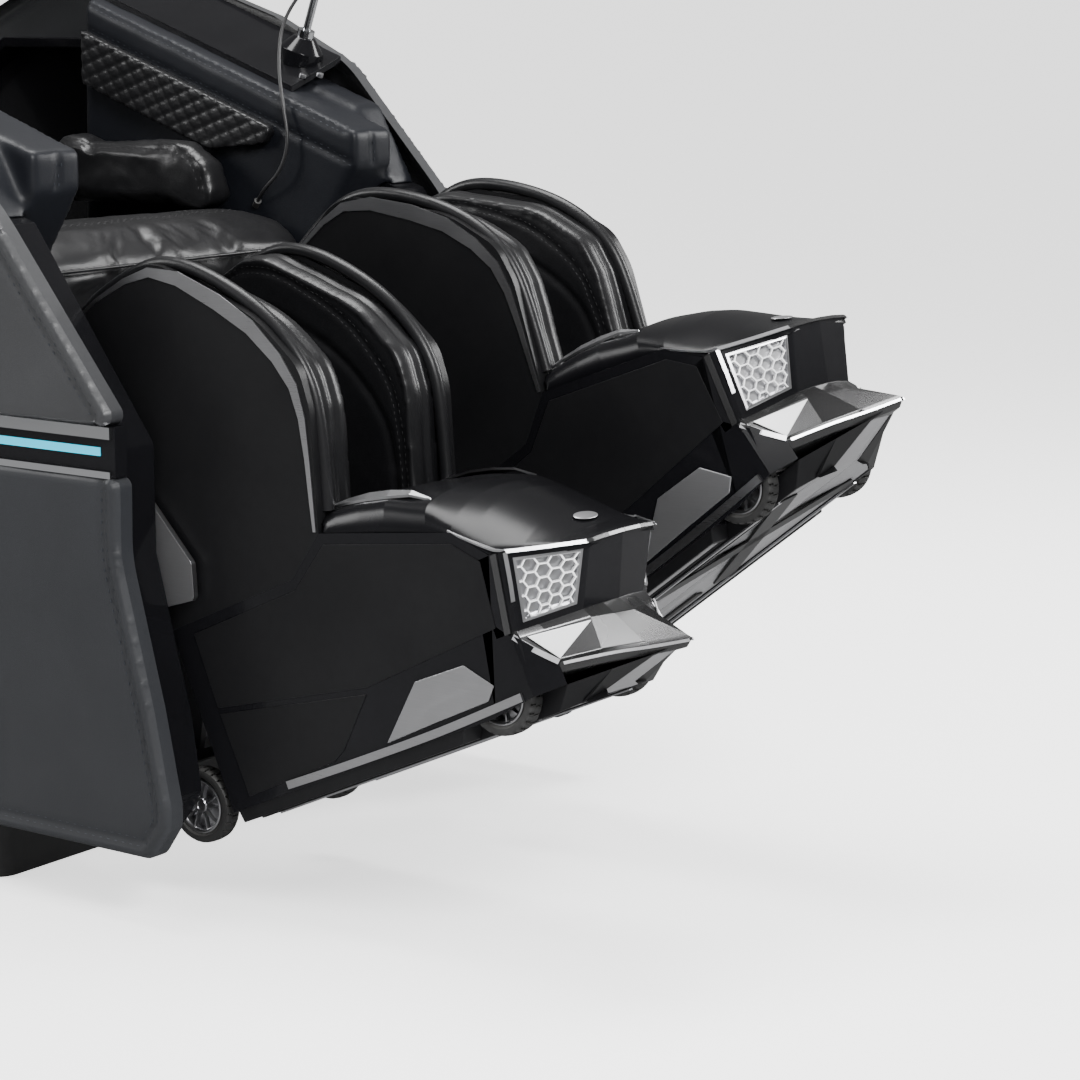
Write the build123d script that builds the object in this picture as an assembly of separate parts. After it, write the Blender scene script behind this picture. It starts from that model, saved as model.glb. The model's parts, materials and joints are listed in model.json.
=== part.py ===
from build123d import *
import math
import os

# Massage chair with two separate leg-and-foot massage modules.
# Millimetres, +Z up, the sitter faces -Y, the sitter's right is -X.
# The origin is the middle of the plinth's flat underside.
# Side outlines are (forward, up) pairs: root pieces measure forward from the knee axis and up from
# the floor, leg pieces measure both from the knee axis with the sole level, and back pieces are
# (ahead, along) pairs from the recline axis with the backrest upright.

# ---- driving sizes -------------------------------------------------------------------------
knee_y = -430.0            # knee axis, where both leg modules hinge
knee_z = 645.0
leg_centre = 200.0         # middle of each leg module from the middle of the chair
leg_half = 131.0           # half width of a leg module's shells
right_pitch = 24.0         # how far each module is raised from level, toes up
left_pitch = 38.0

wall_thick = 24.0          # plastic side wall of the calf and foot shells
calf_back = 95.0           # back of the calf shell ahead of the knee axis
calf_back_thick = 12.0
pad_thick = 50.0           # airbag pads on each side of the calf
trim_proud = 3.0           # bright trims stand this far off the shells
boot_top = -384.0          # joint line between calf shell and foot shell
sole_top = -612.0
sole_bottom = -630.0
foot_floor = -572.0        # floor of the foot well

shaft_d = 25.0             # knee shaft
hub_od = 52.0
running_gap = 0.05         # radial clearance of every turning or sliding fit
free_gap = 3.0             # space kept between pieces that pass each other

wheel_r = 46.0
rim_r = 33.0
tyre_width = 25.0
wheel_axle_d = 10.0
rear_wheel = (43.0, -590.0)
front_wheel = (522.0, -590.0)
front_track_half = 112.0
foot_roller_at = (300.0, -578.0)
foot_roller_r = 24.0
foot_roller_axle_d = 10.0

guard_inner = 338.0        # bracket plates just outside the legs
guard_thick = 8.0
liner_inner = 350.0        # black inner side shells
panel_inner = 404.0        # padded outer side panels
panel_outer = 430.0
panel_skin = 6.0
belt_top = 588.0
belt_bottom = 528.0
belt_recess = 5.0
side_rear = -955.0
side_bottom = 82.0

plinth_half = 398.0
plinth_front = 10.0
plinth_rear = -870.0
plinth_height = 70.0

arm_inner = 262.0
arm_outer = 346.0
arm_slope = 19.6           # degrees, arm tops rise to the rear
arm_seam_z = 907.0         # inner top edge of the arm where it crosses the knee axis
deck_inner = 296.0
deck_rise = 38.0           # outer edge of the deck above its inner edge
deck_thick = 8.0

seat_half = 252.0
seat_front = -30.0
seat_rear = -500.0
seat_top = 765.0
seat_base = 668.0

recline = 38.0             # backrest from upright
recline_f = -560.0
recline_z = 690.0
recline_pin_d = 18.0
back_half = 245.0
shoulder_half = 315.0
cushion_thick = 62.0
rail_d = 12.0
rail_x = 95.0
rail_ahead = -42.0
carriage_half = 34.0
carriage_along = 330.0

stand_x = 362.0
stand_f = -128.0
pole_d = 11.0
pole_length = 215.0
remote_w = 96.0
remote_h = 168.0
remote_t = 16.0
remote_ahead = 24.0        # middle of the remote in front of its tilt pin
button_d = 10.0

cord_d = 5.0

os.makedirs("parts", exist_ok=True)


# ---- helpers -------------------------------------------------------------------------------
def outline(points, rounds=()):
    """Flat outline with some corners rounded: rounds holds (corner number, radius) pairs."""
    shape = Polygon(*points, align=None)
    for number, radius in rounds:
        u, v = points[number]
        corner = shape.vertices().sort_by_distance(Vector(u, v, 0))[0]
        shape = fillet(corner, radius)
    return shape


def slab(points, x_low, x_high, rounds=(), datum=0.0, inset=0.0):
    """Solid between two X planes from a side outline of (forward, up) points."""
    shape = outline([(datum - forward, up) for forward, up in points], rounds)
    if inset:
        shape = offset(shape, amount=-inset, kind=Kind.INTERSECTION)
    return extrude(Plane.YZ.offset(x_low) * shape, x_high - x_low, dir=(1, 0, 0))


def root_slab(points, x_low, x_high, rounds=(), inset=0.0):
    return slab(points, x_low, x_high, rounds, knee_y, inset)


def crosswise(radius, x_low, x_high, forward, up, datum=0.0):
    """Cylinder along X."""
    middle = Pos((x_low + x_high) / 2, datum - forward, up)
    return middle * Rot(0, 90, 0) * Cylinder(radius, x_high - x_low)


def both_sides(solid):
    return [solid, mirror(solid, Plane.YZ)]


def save(node, *shapes):
    solids = [solid for shape in shapes for solid in shape.solids()]
    export_step(solids[0] if len(solids) == 1 else Compound(solids), f"parts/{node}.step")


# ---- leg module, sole level, knee axis at the origin -------------------------------------------
calf_outline = [(calf_back, boot_top), (calf_back, 8), (250, 28), (375, -90), (412, -165), (408, -215),
                (360, -347), (300, boot_top)]
calf_rounds = [(1, 24), (2, 70), (3, 150), (4, 60), (5, 100)]
boot_outline = [(calf_back, sole_top), (calf_back, boot_top), (300, boot_top), (360, -347), (540, -404),
                (580, -443), (515, sole_top)]
inner_half = leg_half - wall_thick
calf_inner = calf_back + calf_back_thick
pad_inner = inner_half - pad_thick
pad_bottom = foot_roller_at[1] + foot_roller_r + 6


def calf_shell():
    wall = slab(calf_outline, inner_half, leg_half, calf_rounds)
    back = slab([(calf_back, boot_top), (calf_back, 8), (calf_inner, 8), (calf_inner, boot_top)],
                -inner_half, inner_half)
    return back + both_sides(wall)


def calf_pads():
    side = slab([(calf_inner, pad_bottom), (calf_inner, 2), (246, 20), (368, -94), (403, -167), (399, -213),
                 (352, -345), (306, -380), (306, pad_bottom)], pad_inner, inner_half,
                [(1, 18), (2, 64), (3, 140), (4, 50)])
    rest_front = calf_inner + 26
    rest = slab([(calf_inner, pad_bottom), (calf_inner, -14), (rest_front, -22), (rest_front, pad_bottom)],
                -pad_inner, pad_inner)
    return both_sides(side) + [rest]


def calf_trims():
    band = slab(calf_outline, leg_half, leg_half + trim_proud / 2, calf_rounds, inset=5)
    band -= slab(calf_outline, leg_half, leg_half + trim_proud, calf_rounds, inset=17)
    ahead = slab([(150, 60), (150, -30), (300, -240), (330, -300), (460, -300), (460, 60)],
                 leg_half, leg_half + trim_proud)
    return both_sides(band & ahead)


def foot_well():
    return slab([(calf_inner, foot_floor), (calf_inner, -300), (640, -300), (560, foot_floor + 90),
                 (530, foot_floor)], -inner_half, inner_half)


def wheel_well(x_low, x_high):
    clear = wheel_r + free_gap
    forward, up = front_wheel
    below = slab([(forward - clear, sole_bottom - 10), (forward - clear, up), (forward + clear, up),
                  (forward + clear, sole_bottom - 10)], x_low, x_high)
    return below + crosswise(clear, x_low, x_high, forward, up)


front_tyre_low = front_track_half - tyre_width / 2 - free_gap
front_tyre_high = front_track_half + tyre_width / 2 + free_gap


def boot_shell():
    shell = slab(boot_outline, -leg_half, leg_half) - foot_well()
    for well in both_sides(wheel_well(front_tyre_low, front_tyre_high)):
        shell -= well
    shell -= crosswise(wheel_axle_d / 2 + running_gap, -front_tyre_high, front_tyre_high, *front_wheel)
    forward, up = foot_roller_at
    clear = foot_roller_r + free_gap
    shell -= slab([(forward - clear, up - clear), (forward - clear, up + clear), (forward + clear, up + clear),
                   (forward + clear, up - clear)], -80, 80)
    return shell - crosswise(foot_roller_axle_d / 2 + running_gap, -100, 100, *foot_roller_at)


hood_line = [(364, -348.2), (378, -322), (450, -334), (540, -380), (600, -420), (650, -447), (664, -462),
             (580, -443), (540, -404)]


def boot_hood():
    """Hollow cover over the toes, its long top edges cut to a slope."""
    hood = slab(hood_line, -leg_half + 6, leg_half - 6, [(1, 12), (2, 60)])
    well = slab([(372, -352), (386, -333), (450, -345), (536, -389), (572, -414), (560, -460), (372, -460)],
                -inner_half, inner_half)
    shoulder = slab([(364, -348.2), (376, -340), (450, -362), (540, -398), (600, -436), (664, -459),
                     (664, -462), (580, -443), (540, -404)], -leg_half, leg_half)
    crown = slab(hood_line, -leg_half + 34, leg_half - 34, [(1, 12), (2, 60)])
    return (hood & (shoulder + crown)) - well


def plan_loft(low_z, low_plan, high_z, high_plan):
    """Loft between two plan outlines given as (half width, forward) pairs, mirrored about X = 0."""
    faces = []
    for up, plan in ((low_z, low_plan), (high_z, high_plan)):
        points = [(half, -forward) for half, forward in plan]
        points += [(-half, -forward) for half, forward in reversed(plan)]
        faces.append(Plane.XY.offset(up) * Polygon(*points, align=None))
    return loft(faces)


# The fascia is a loft between two plan outlines whose slanted facets are parallel, so each facet is flat.
grille_recess = 10.0
facet_outer = 582.0        # forward reach of the facets' outer corners at fascia_high
facet_inner = 668.0        # and of their inner corners
facet_inner_half = 64.0
fascia_low = -600.0
fascia_high = -440.0
fascia_lean = 58.0         # the fascia leans back by this from its top to its bottom


def fascia_block():
    return plan_loft(fascia_low, [(leg_half, 470), (leg_half, facet_outer - fascia_lean),
                                  (facet_inner_half, facet_inner - fascia_lean)],
                     fascia_high, [(leg_half, 470), (leg_half, facet_outer), (facet_inner_half, facet_inner)])


def facet_plane(side):
    """Plane on a slanted facet: x runs inward along it, y up it, z out of it."""
    inward = Vector(-side * (leg_half - facet_inner_half), facet_outer - facet_inner, 0).normalized()
    up = Vector(0, -fascia_lean, fascia_high - fascia_low).normalized()
    out = inward.cross(up) if side < 0 else up.cross(inward)
    middle = Vector(side * (leg_half + facet_inner_half) / 2,
                    -(facet_outer + facet_inner - fascia_lean) / 2, (fascia_high + fascia_low) / 2)
    return Plane(origin=middle, x_dir=inward if side < 0 else inward * -1, z_dir=out)


def grille_block(side):
    """Block that cuts the recess for a grille into a facet."""
    corners = [(-side * along, up) for along, up in ((-37, 43), (41, 35), (33, -15), (-35, -19))]
    return extrude(facet_plane(side) * Polygon(*corners, align=None), amount=grille_recess, both=True)


def boot_front(up):
    """Forward reach of the boot shell's slanted front end at a height."""
    (high_f, high_z), (low_f, low_z) = boot_outline[5], boot_outline[6]
    return low_f + (high_f - low_f) * (up - low_z) / (high_z - low_z)


bumper_top = -598.0


def boot_face():
    keep = slab([(580, -443), (664, -462), (720, -475), (720, bumper_top), (boot_front(bumper_top), bumper_top)],
                -leg_half, leg_half)
    face = fascia_block() & keep
    face -= crosswise(wheel_axle_d / 2 + running_gap, -front_tyre_high, front_tyre_high, *front_wheel)
    for side in (-1, 1):
        face -= grille_block(side)
    for well in both_sides(wheel_well(front_tyre_low, front_tyre_high)):
        face -= well
    return face


def boot_sole():
    front = boot_front(bumper_top)
    sole = slab([(calf_back, sole_top), (front, sole_top), (front, sole_bottom), (calf_back + 8, sole_bottom)],
                -leg_half, leg_half)
    for well in both_sides(wheel_well(front_tyre_low, front_tyre_high)):
        sole -= well
    bumper = plan_loft(sole_bottom - 2, [(leg_half - 4, front), (leg_half - 8, 574), (48, 664)],
                       bumper_top, [(leg_half, front), (leg_half, 562), (44, 706)])
    for well in both_sides(wheel_well(front_tyre_low, front_tyre_high)):
        bumper -= well
    forward, up = rear_wheel
    lug = slab([(calf_back + 20, sole_bottom), (calf_back + 20, sole_top), (calf_back - 1, sole_top),
                (forward, up + 14), (forward - 14, up), (forward, up - 14)], 76, 92, [(4, 10)])
    lug -= crosswise(wheel_axle_d / 2 + running_gap, 70, 100, *rear_wheel)
    return sole + bumper + both_sides(lug)


sill_outline = [(193, -603), (205, -585), (515, -596), (515, -606), (210, -618)]


def boot_trims():
    sill = slab(sill_outline, leg_half, leg_half + trim_proud)
    plate = slab([(350, -600), (422, -540), (499, -545), (530, -580), (515, -590)], leg_half,
                 leg_half + trim_proud / 2)
    return both_sides(sill) + both_sides(plate - sill)


def lift_arm():
    hub = crosswise(hub_od / 2, -leg_half, leg_half, 0, 0)
    cheek = slab([(0, hub_od / 2), (0, -hub_od / 2), (calf_back, -190), (calf_back, -10)], 84, 94)
    arm = hub + both_sides(cheek)
    return arm - crosswise(shaft_d / 2 + running_gap, -leg_half - 1, leg_half + 1, 0, 0)


def tyres(middle, at):
    rings = []
    for side in (-1, 1):
        x = side * middle
        ring = crosswise(wheel_r, x - tyre_width / 2, x + tyre_width / 2, *at)
        ring = fillet(ring.edges().filter_by(GeomType.CIRCLE), 5)
        rings.append(ring - crosswise(rim_r, x - tyre_width, x + tyre_width, *at))
    return rings


def rims(middle, at):
    """Two rims with five spokes each, joined by their axle."""
    wheelset = crosswise(wheel_axle_d / 2, -middle, middle, *at)
    forward, up = at
    for side in (-1, 1):
        x = side * middle
        rim = crosswise(rim_r, x - 9, x + 9, *at) - crosswise(rim_r - 4, x - 10, x + 10, *at)
        rim += crosswise(9, x - 7, x + 7, *at)
        for number in range(5):
            angle = math.radians(72 * number + 90)
            reach = (rim_r - 2) / 2
            spoke = Pos(x, -forward + reach * math.cos(angle), up + reach * math.sin(angle))
            rim += spoke * Rot(math.degrees(angle) - 90, 0, 0) * Box(8, 9, rim_r - 2)
        wheelset += rim
    return wheelset


def foot_roller():
    roller = crosswise(foot_roller_axle_d / 2, -98, 98, *foot_roller_at)
    for x in (-52, 0, 52):
        barrel = crosswise(foot_roller_r, x - 18, x + 18, *foot_roller_at)
        roller += fillet(barrel.edges().filter_by(GeomType.CIRCLE), 7)
    return roller


def save_leg(side_name, side, pitch):
    place = Pos(side * leg_centre, knee_y, knee_z) * Rot(-pitch, 0, 0)
    rear_middle = leg_half - tyre_width / 2
    pieces = {
        "lift_arm": [lift_arm()],
        "calf_shell": [calf_shell()],
        "calf_pads": calf_pads(),
        "boot_shell": [boot_shell()],
        "boot_hood": [boot_hood()],
        "boot_face": [boot_face()],
        "leg_trims": calf_trims() + boot_trims(),
        "boot_sole": [boot_sole()],
        "foot_roller": [foot_roller()],
        "rear_tyres": tyres(rear_middle, rear_wheel),
        "rear_rims": [rims(rear_middle, rear_wheel)],
        "front_tyres": tyres(front_track_half, front_wheel),
        "front_rims": [rims(front_track_half, front_wheel)],
    }
    for name, shapes in pieces.items():
        save(f"{side_name}_{name}", *[place * shape for shape in shapes])


# ---- base and seat ---------------------------------------------------------------------------
frame_outer = guard_inner
frame_tube = 32.0
tray_wall = 10.0


def base_plinth():
    rim = root_slab([(plinth_front, 0), (plinth_front, plinth_height), (plinth_rear, plinth_height),
                     (plinth_rear, 0)], -plinth_half, plinth_half)
    rim = fillet(rim.edges().filter_by(Axis.Z), 30)
    hollow = root_slab([(plinth_front - tray_wall, tray_wall), (plinth_front - tray_wall, plinth_height + 1),
                        (plinth_rear + tray_wall, plinth_height + 1), (plinth_rear + tray_wall, tray_wall)],
                       -plinth_half + tray_wall, plinth_half - tray_wall)
    return rim - fillet(hollow.edges().filter_by(Axis.Z), 20)


def beam(x_low, x_high, f_low, f_high, z_low, z_high):
    return root_slab([(f_low, z_low), (f_low, z_high), (f_high, z_high), (f_high, z_low)], x_low, x_high)


def base_frame():
    """Welded frame: floor rails, uprights, seat rails and pan, the knee pedestal and the recline pins."""
    inner = frame_outer - frame_tube
    seat_rail = seat_base - pan_thick
    frame = beam(-frame_outer, frame_outer, -100, -60, tray_wall, 60)
    frame += beam(-frame_outer, frame_outer, -540, -500, tray_wall, 60)
    frame += beam(-frame_outer, frame_outer, -850, -810, tray_wall, 60)
    frame += beam(-frame_outer, frame_outer, -100, -70, seat_rail - 30, seat_rail)
    for side in both_sides(beam(inner, frame_outer, -850, -60, tray_wall, 60)
                           + beam(inner, frame_outer, -100, -60, 60, seat_rail)
                           + beam(inner, frame_outer, recline_f - 20, -60, seat_rail - 30, seat_rail)
                           + recline_post()):
        frame += side
    for plate in both_sides(knee_pedestal()):
        frame += plate
    return frame + seat_pan()


def recline_post():
    inner = frame_outer - 16
    post = beam(inner, frame_outer, recline_f - 30, recline_f + 30, 60, recline_z)
    post += crosswise(30, inner, frame_outer, recline_f, recline_z, knee_y)
    return post + crosswise(recline_pin_d / 2, inner - 60, inner, recline_f, recline_z, knee_y)


def knee_pedestal():
    plate = root_slab([(-100, 60), (-60, 60), (28, 620), (28, 662), (12, 674), (-18, 674), (-32, 640),
                        (-100, 630)], 48, 58)
    return plate - crosswise(shaft_d / 2, 40, 66, 0, knee_z, knee_y)


def knee_shaft():
    return crosswise(shaft_d / 2, -guard_inner - guard_thick, guard_inner + guard_thick, 0, knee_z, knee_y)


def leg_motor():
    """Gear motor round the knee shaft, between the pedestal plates."""
    case = crosswise(36, 4, 48, 0, knee_z, knee_y)
    case = fillet(case.edges().filter_by(GeomType.CIRCLE), 6)
    case += crosswise(20, 6, 46, -40, knee_z - 44, knee_y)
    return case - crosswise(shaft_d / 2, 0, 50, 0, knee_z, knee_y)


def side_guard():
    plate = root_slab([(-100, 300), (-100, 640), (-30, 690), (30, 690), (178, 540), (290, 422), (293, 378),
                       (221, 356), (60, 420), (-20, 300)], guard_inner, guard_inner + guard_thick,
                      [(2, 20), (3, 30), (5, 12), (6, 8), (7, 10)])
    return plate - crosswise(shaft_d / 2, guard_inner - 5, guard_inner + 20, 0, knee_z, knee_y)


def control_box():
    box = beam(-270, -60, -350, -150, tray_wall, 110)
    return fillet(box.edges().filter_by(Axis.Z), 12)


def air_pump():
    box = beam(60, 250, -350, -150, tray_wall, 140)
    box = fillet(box.edges().filter_by(Axis.Z), 30)
    outlets = [Pos(x, knee_y + 200, 150) * Cylinder(7, 20) for x in (110, 140, 170, 200)]
    return box + outlets


pan_thick = 14.0


def seat_pan():
    return beam(-frame_outer, frame_outer, seat_rear, seat_front - 6, seat_base - pan_thick, seat_base)


def rear_cover():
    """Cover across the back of the base, below the reclining backrest."""
    panel = root_slab([(plinth_rear, plinth_height), (-905, 140), (-912, 560), (-860, 600), (-852, 594),
                       (-902, 552), (-895, 142), (plinth_rear + 10, plinth_height)], -frame_outer, frame_outer)
    return panel


def seat_cushion():
    return root_slab([(seat_front, seat_base), (seat_front, seat_top - 30), (seat_front - 40, seat_top),
                      (seat_front - 130, seat_top + 4), (seat_rear, seat_top - 32), (seat_rear, seat_base)],
                     -seat_half, seat_half, [(1, 26), (2, 50)])


# ---- sides ---------------------------------------------------------------------------------
upper_outline = [(256, belt_top), (75, 812), (-78, 976), (-210, 1040), (-430, 1110), (-640, 1105), (-850, 1010),
                 (-945, 850), (side_rear, belt_top)]
upper_rounds = [(0, 12), (1, 400), (2, 150), (4, 300), (5, 300), (6, 200), (7, 150)]
lower_outline = [(254, belt_bottom), (252, 435), (298, 260), (321, 150), (321, 124), (292, side_bottom),
                 (-890, side_bottom), (side_rear, 150), (side_rear, belt_bottom)]
lower_rounds = [(0, 12), (1, 150), (2, 300), (4, 24), (5, 24), (6, 40), (7, 60)]
belt_outline = [(248, belt_top), (248, belt_bottom), (side_rear + 6, belt_bottom), (side_rear + 6, belt_top)]
belt_face = panel_outer - belt_recess
rim_depth = 20.0


def cover(points, rounds, outer, skin):
    """Moulded cover, open towards the chair, with a rim all round."""
    body = root_slab(points, panel_inner, outer, rounds)
    return body - root_slab(points, panel_inner - 1, outer - skin, rounds, rim_depth)


def light_belt():
    return cover(belt_outline, (), belt_face, panel_skin)


def light_strip():
    return beam(belt_face, belt_face + 1.5, side_rear + 30, 226, 553, 563)


def panel_trims():
    chrome = beam(belt_face, panel_outer + 1.5, side_rear + 8, 246, belt_top - 14, belt_top)
    silver = beam(belt_face, panel_outer, side_rear + 8, 244, belt_bottom, belt_bottom + 8)
    return [chrome, silver]


def arm_height(forward):
    """Height of the arm's inner top edge."""
    return arm_seam_z - forward * math.tan(math.radians(arm_slope))


nose_f = 50.0              # front of the arm at its inner side
arm_rear = -445.0
liner_front = 14.0         # liner's front edge behind the panel's
liner_top_front = 812.0
liner_top_drop = 60.0      # liner's top below the arm's top edge


def side_liner():
    rear_top = arm_height(arm_rear) - liner_top_drop
    points = [(254 - liner_front, 560), (nose_f + 8, liner_top_front - 4), (nose_f - 4, liner_top_front),
              (arm_rear, rear_top), (-700, rear_top), (side_rear + 30, 850), (side_rear + 20, 180), (-880, 100),
              (270, 100), (304, 150), (290, 240), (254 - liner_front, 430)]
    body = root_slab(points, liner_inner, panel_inner, [(5, 120), (6, 60), (8, 30), (9, 20)])
    return body - root_slab(points, liner_inner - 1, panel_inner - 8, [(5, 120), (6, 60), (8, 30), (9, 20)], 14)


def arm_body():
    inner = root_slab([(nose_f, 842), (nose_f, arm_height(nose_f)), (arm_rear, arm_height(arm_rear)),
                       (arm_rear - 10, 700), (-25, 700), (0, 764)], arm_inner, arm_outer)
    rear_top = arm_height(arm_rear) - liner_top_drop
    outer = root_slab([(nose_f - 4, liner_top_front), (-16, arm_height(-16) + 8),
                       (arm_rear, arm_height(arm_rear) + 8), (arm_rear, rear_top)], arm_outer, panel_inner)
    return inner + outer


def deck_plane():
    """Plane whose x runs outward, y down and z rearward up the arm's slope."""
    slope = math.radians(arm_slope)
    return Plane(origin=(0, knee_y, arm_seam_z), x_dir=(1, 0, 0), z_dir=(0, math.cos(slope), math.sin(slope)))


def deck_height(x, forward):
    return arm_height(forward) + deck_rise * (x - deck_inner) / (panel_inner - deck_inner) + deck_thick


def deck_normal():
    slope = math.radians(arm_slope)
    return Vector(0, -math.sin(slope), math.cos(slope))


def arm_deck():
    rise = deck_rise * math.cos(math.radians(arm_slope))
    section = Polygon((deck_inner, 0), (deck_inner, -deck_thick), (panel_inner, -deck_thick - rise),
                      (panel_inner, -rise + 0), align=None)
    deck = extrude(deck_plane() * section, amount=470, dir=deck_plane().z_dir)
    deck -= beam(deck_inner - 1, panel_inner + 1, arm_rear - 200, arm_rear, 800, 1300)
    lower = root_slab([(nose_f, 700), (nose_f, arm_height(nose_f)), (arm_rear, arm_height(arm_rear)),
                       (arm_rear, 700)], deck_inner, arm_outer)
    lower += root_slab([(nose_f, 700), (nose_f, arm_height(nose_f) + 8), (arm_rear, arm_height(arm_rear) + 8),
                        (arm_rear, 700)], arm_outer, panel_inner)
    return deck - lower


def arm_deck_left():
    """The deck on the sitter's left has the two buttons."""
    deck = arm_deck()
    for x, forward in button_places:
        deck -= on_deck(x, forward, Cylinder(button_d / 2 + button_gap, 80))
    return deck


button_gap = 0.1
button_places = [(324.0, -92.0), (342.0, -76.0)]


def on_deck(x, forward, shape):
    """Put a shape on the deck's surface, its Z along the arm's slope normal."""
    spot = Plane(origin=(x, knee_y - forward, deck_height(x, forward)), x_dir=(1, 0, 0), z_dir=deck_normal())
    return spot * shape


def button(place):
    cap = Pos(0, 0, 1) * Cylinder(button_d / 2, 6)
    return on_deck(*place, Pos(0, 0, 1.2) * cap)


def quilt_pad():
    drop = 46
    points = [(-84, arm_height(-84) - drop), (arm_rear + 6, arm_height(arm_rear) - drop),
              (arm_rear + 6, arm_height(arm_rear) - drop - 74), (-200, arm_height(-200) - drop - 74),
              (-100, arm_height(-84) - drop - 22)]
    return root_slab(points, arm_inner - 16, arm_inner, [(0, 8), (3, 40), (4, 10)])


def hip_pad():
    bottom = seat_top + 12
    return root_slab([(-150, bottom + 14), (-165, 840), (-215, 872), (-440, 876), (-470, 820), (-470, bottom),
                      (-180, bottom)], arm_inner - 62, arm_inner - 17, [(0, 14), (1, 26), (2, 30), (3, 24), (4, 24)])


# ---- remote on its stand -------------------------------------------------------------------
socket_h = 30.0
socket_bore_depth = 24.0
spigot_d = 12.0


def stand_plane():
    return Plane(origin=(stand_x, knee_y - stand_f, deck_height(stand_x, stand_f)), x_dir=(1, 0, 0),
                 z_dir=deck_normal())


def stand_socket():
    lift = 12.0
    cone = Pos(0, 0, socket_h / 2 + lift / 2) * Cone(31, 15, socket_h - lift)
    foot = Pos(0, 0, lift / 2 - 6) * Cylinder(31, lift + 12)
    body = stand_plane() * (foot + cone)
    body -= on_deck_under()
    bore = Pos(0, 0, socket_h - socket_bore_depth / 2) * Cylinder(spigot_d / 2 + running_gap, socket_bore_depth)
    return body - stand_plane() * bore


def on_deck_under():
    """Everything below the deck's surface round the stand."""
    rise = deck_rise * math.cos(math.radians(arm_slope))
    section = Polygon((deck_inner - 40, 60), (deck_inner - 40, -deck_thick + rise * 40 / (panel_inner - deck_inner)),
                      (panel_inner + 40, -deck_thick - rise * (1 + 40 / (panel_inner - deck_inner))),
                      (panel_inner + 40, 60), align=None)
    return extrude(deck_plane() * section, amount=470, dir=deck_plane().z_dir)


def stand_pole():
    """Spigot, collar and slim pole with a ball at the top."""
    bottom = socket_h - socket_bore_depth + 0.5
    pole = Pos(0, 0, (bottom + socket_h) / 2) * Cylinder(spigot_d / 2, socket_h - bottom)
    pole += Pos(0, 0, socket_h + 5.3) * Cylinder(12, 10)
    pole += Pos(0, 0, socket_h + pole_length / 2) * Cylinder(pole_d / 2, pole_length)
    pole += Pos(0, 0, socket_h + pole_length) * Sphere(11)
    return stand_plane() * pole


tilt_up = socket_h + pole_length + 26.0     # remote's tilt pin above the deck, along the pole
tilt_pin_d = 8.0


def remote_cradle():
    fork = Pos(0, 0, tilt_up - 13) * Box(44, 16, 8)
    for x in (-18, 18):
        fork += Pos(x, 0, tilt_up - 4) * Box(8, 14, 24)
    fork += Pos(0, 0, tilt_up) * Rot(0, 90, 0) * Cylinder(tilt_pin_d / 2, 44)
    fork += Pos(-14, -12, tilt_up - 13) * Rot(90, 0, 0) * Cylinder(5, 12)
    fork -= Pos(0, 0, socket_h + pole_length) * Sphere(11)
    return stand_plane() * fork


def remote_case():
    """Slab remote leaning on the cradle's pin, with a knuckle behind it."""
    knuckle = Rot(0, 90, 0) * Cylinder(8, 27) + Pos(0, 9, 6) * Box(27, 14, 12)
    slab_case = Pos(0, remote_ahead, remote_h / 2 - 2) * Box(remote_w, remote_t, remote_h)
    slab_case = fillet(slab_case.edges().filter_by(Axis.Y), 12)
    case = slab_case + knuckle
    case -= Rot(0, 90, 0) * Cylinder(tilt_pin_d / 2 + running_gap, 60)
    return stand_plane() * (Pos(0, 0, tilt_up) * case)


cord_route = [(348.0, -24.5, 1220.8), (348.0, 3.0, 1210.0), (344.0, 8.0, 1172.0), (330.0, -22.0, 1130.0),
              (306.0, -66.0, 1085.0), (283.0, -92.0, 1036.0), (268.0, -88.0, 980.0), (254.0, -70.0, 930.0),
              (249.0, -54.0, 876.0), (244.0, -66.0, 832.0), (245.0, -100.0, 806.0), (256.0, -118.0, 790.0)]
gland_length = 6.0


def cord_points():
    return [Vector(x, knee_y - forward, up) for x, forward, up in cord_route]


def corner_radii(points):
    radii = []
    for before, corner, after in zip(points, points[1:], points[2:]):
        run = min((corner - before).length, (after - corner).length)
        turn = math.radians((corner - before).get_angle(after - corner))
        radii.append(0.45 * run / math.tan(turn / 2))
    return radii


def remote_cord():
    points = cord_points()
    path = FilletPolyline(*points, radius=corner_radii(points))
    start = Plane(origin=path @ 0, z_dir=path % 0)
    return sweep(start * Circle(cord_d / 2), path=path)


def cord_gland():
    last = cord_points()[-1]
    before = cord_points()[-2]
    direction = (last - before).normalized()
    ferrule = Plane(origin=last, z_dir=direction) * Pos(0, 0, gland_length) * Cylinder(5, 2 * gland_length)
    return ferrule - beam(arm_inner, arm_inner + 60, -300, 100, 600, 900)


# ---- backrest, upright, recline axis at the origin ---------------------------------------------
shell_outline = [(-4, 30), (-4, 770), (-50, 800), (-96, 740), (-100, 200), (-60, 22)]
shell_rounds = [(2, 30), (3, 60), (4, 120), (5, 30)]
shell_floor = 62.0
rail_bottom = 100.0
rail_top = 742.0
roller_ahead = -24.0


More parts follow.
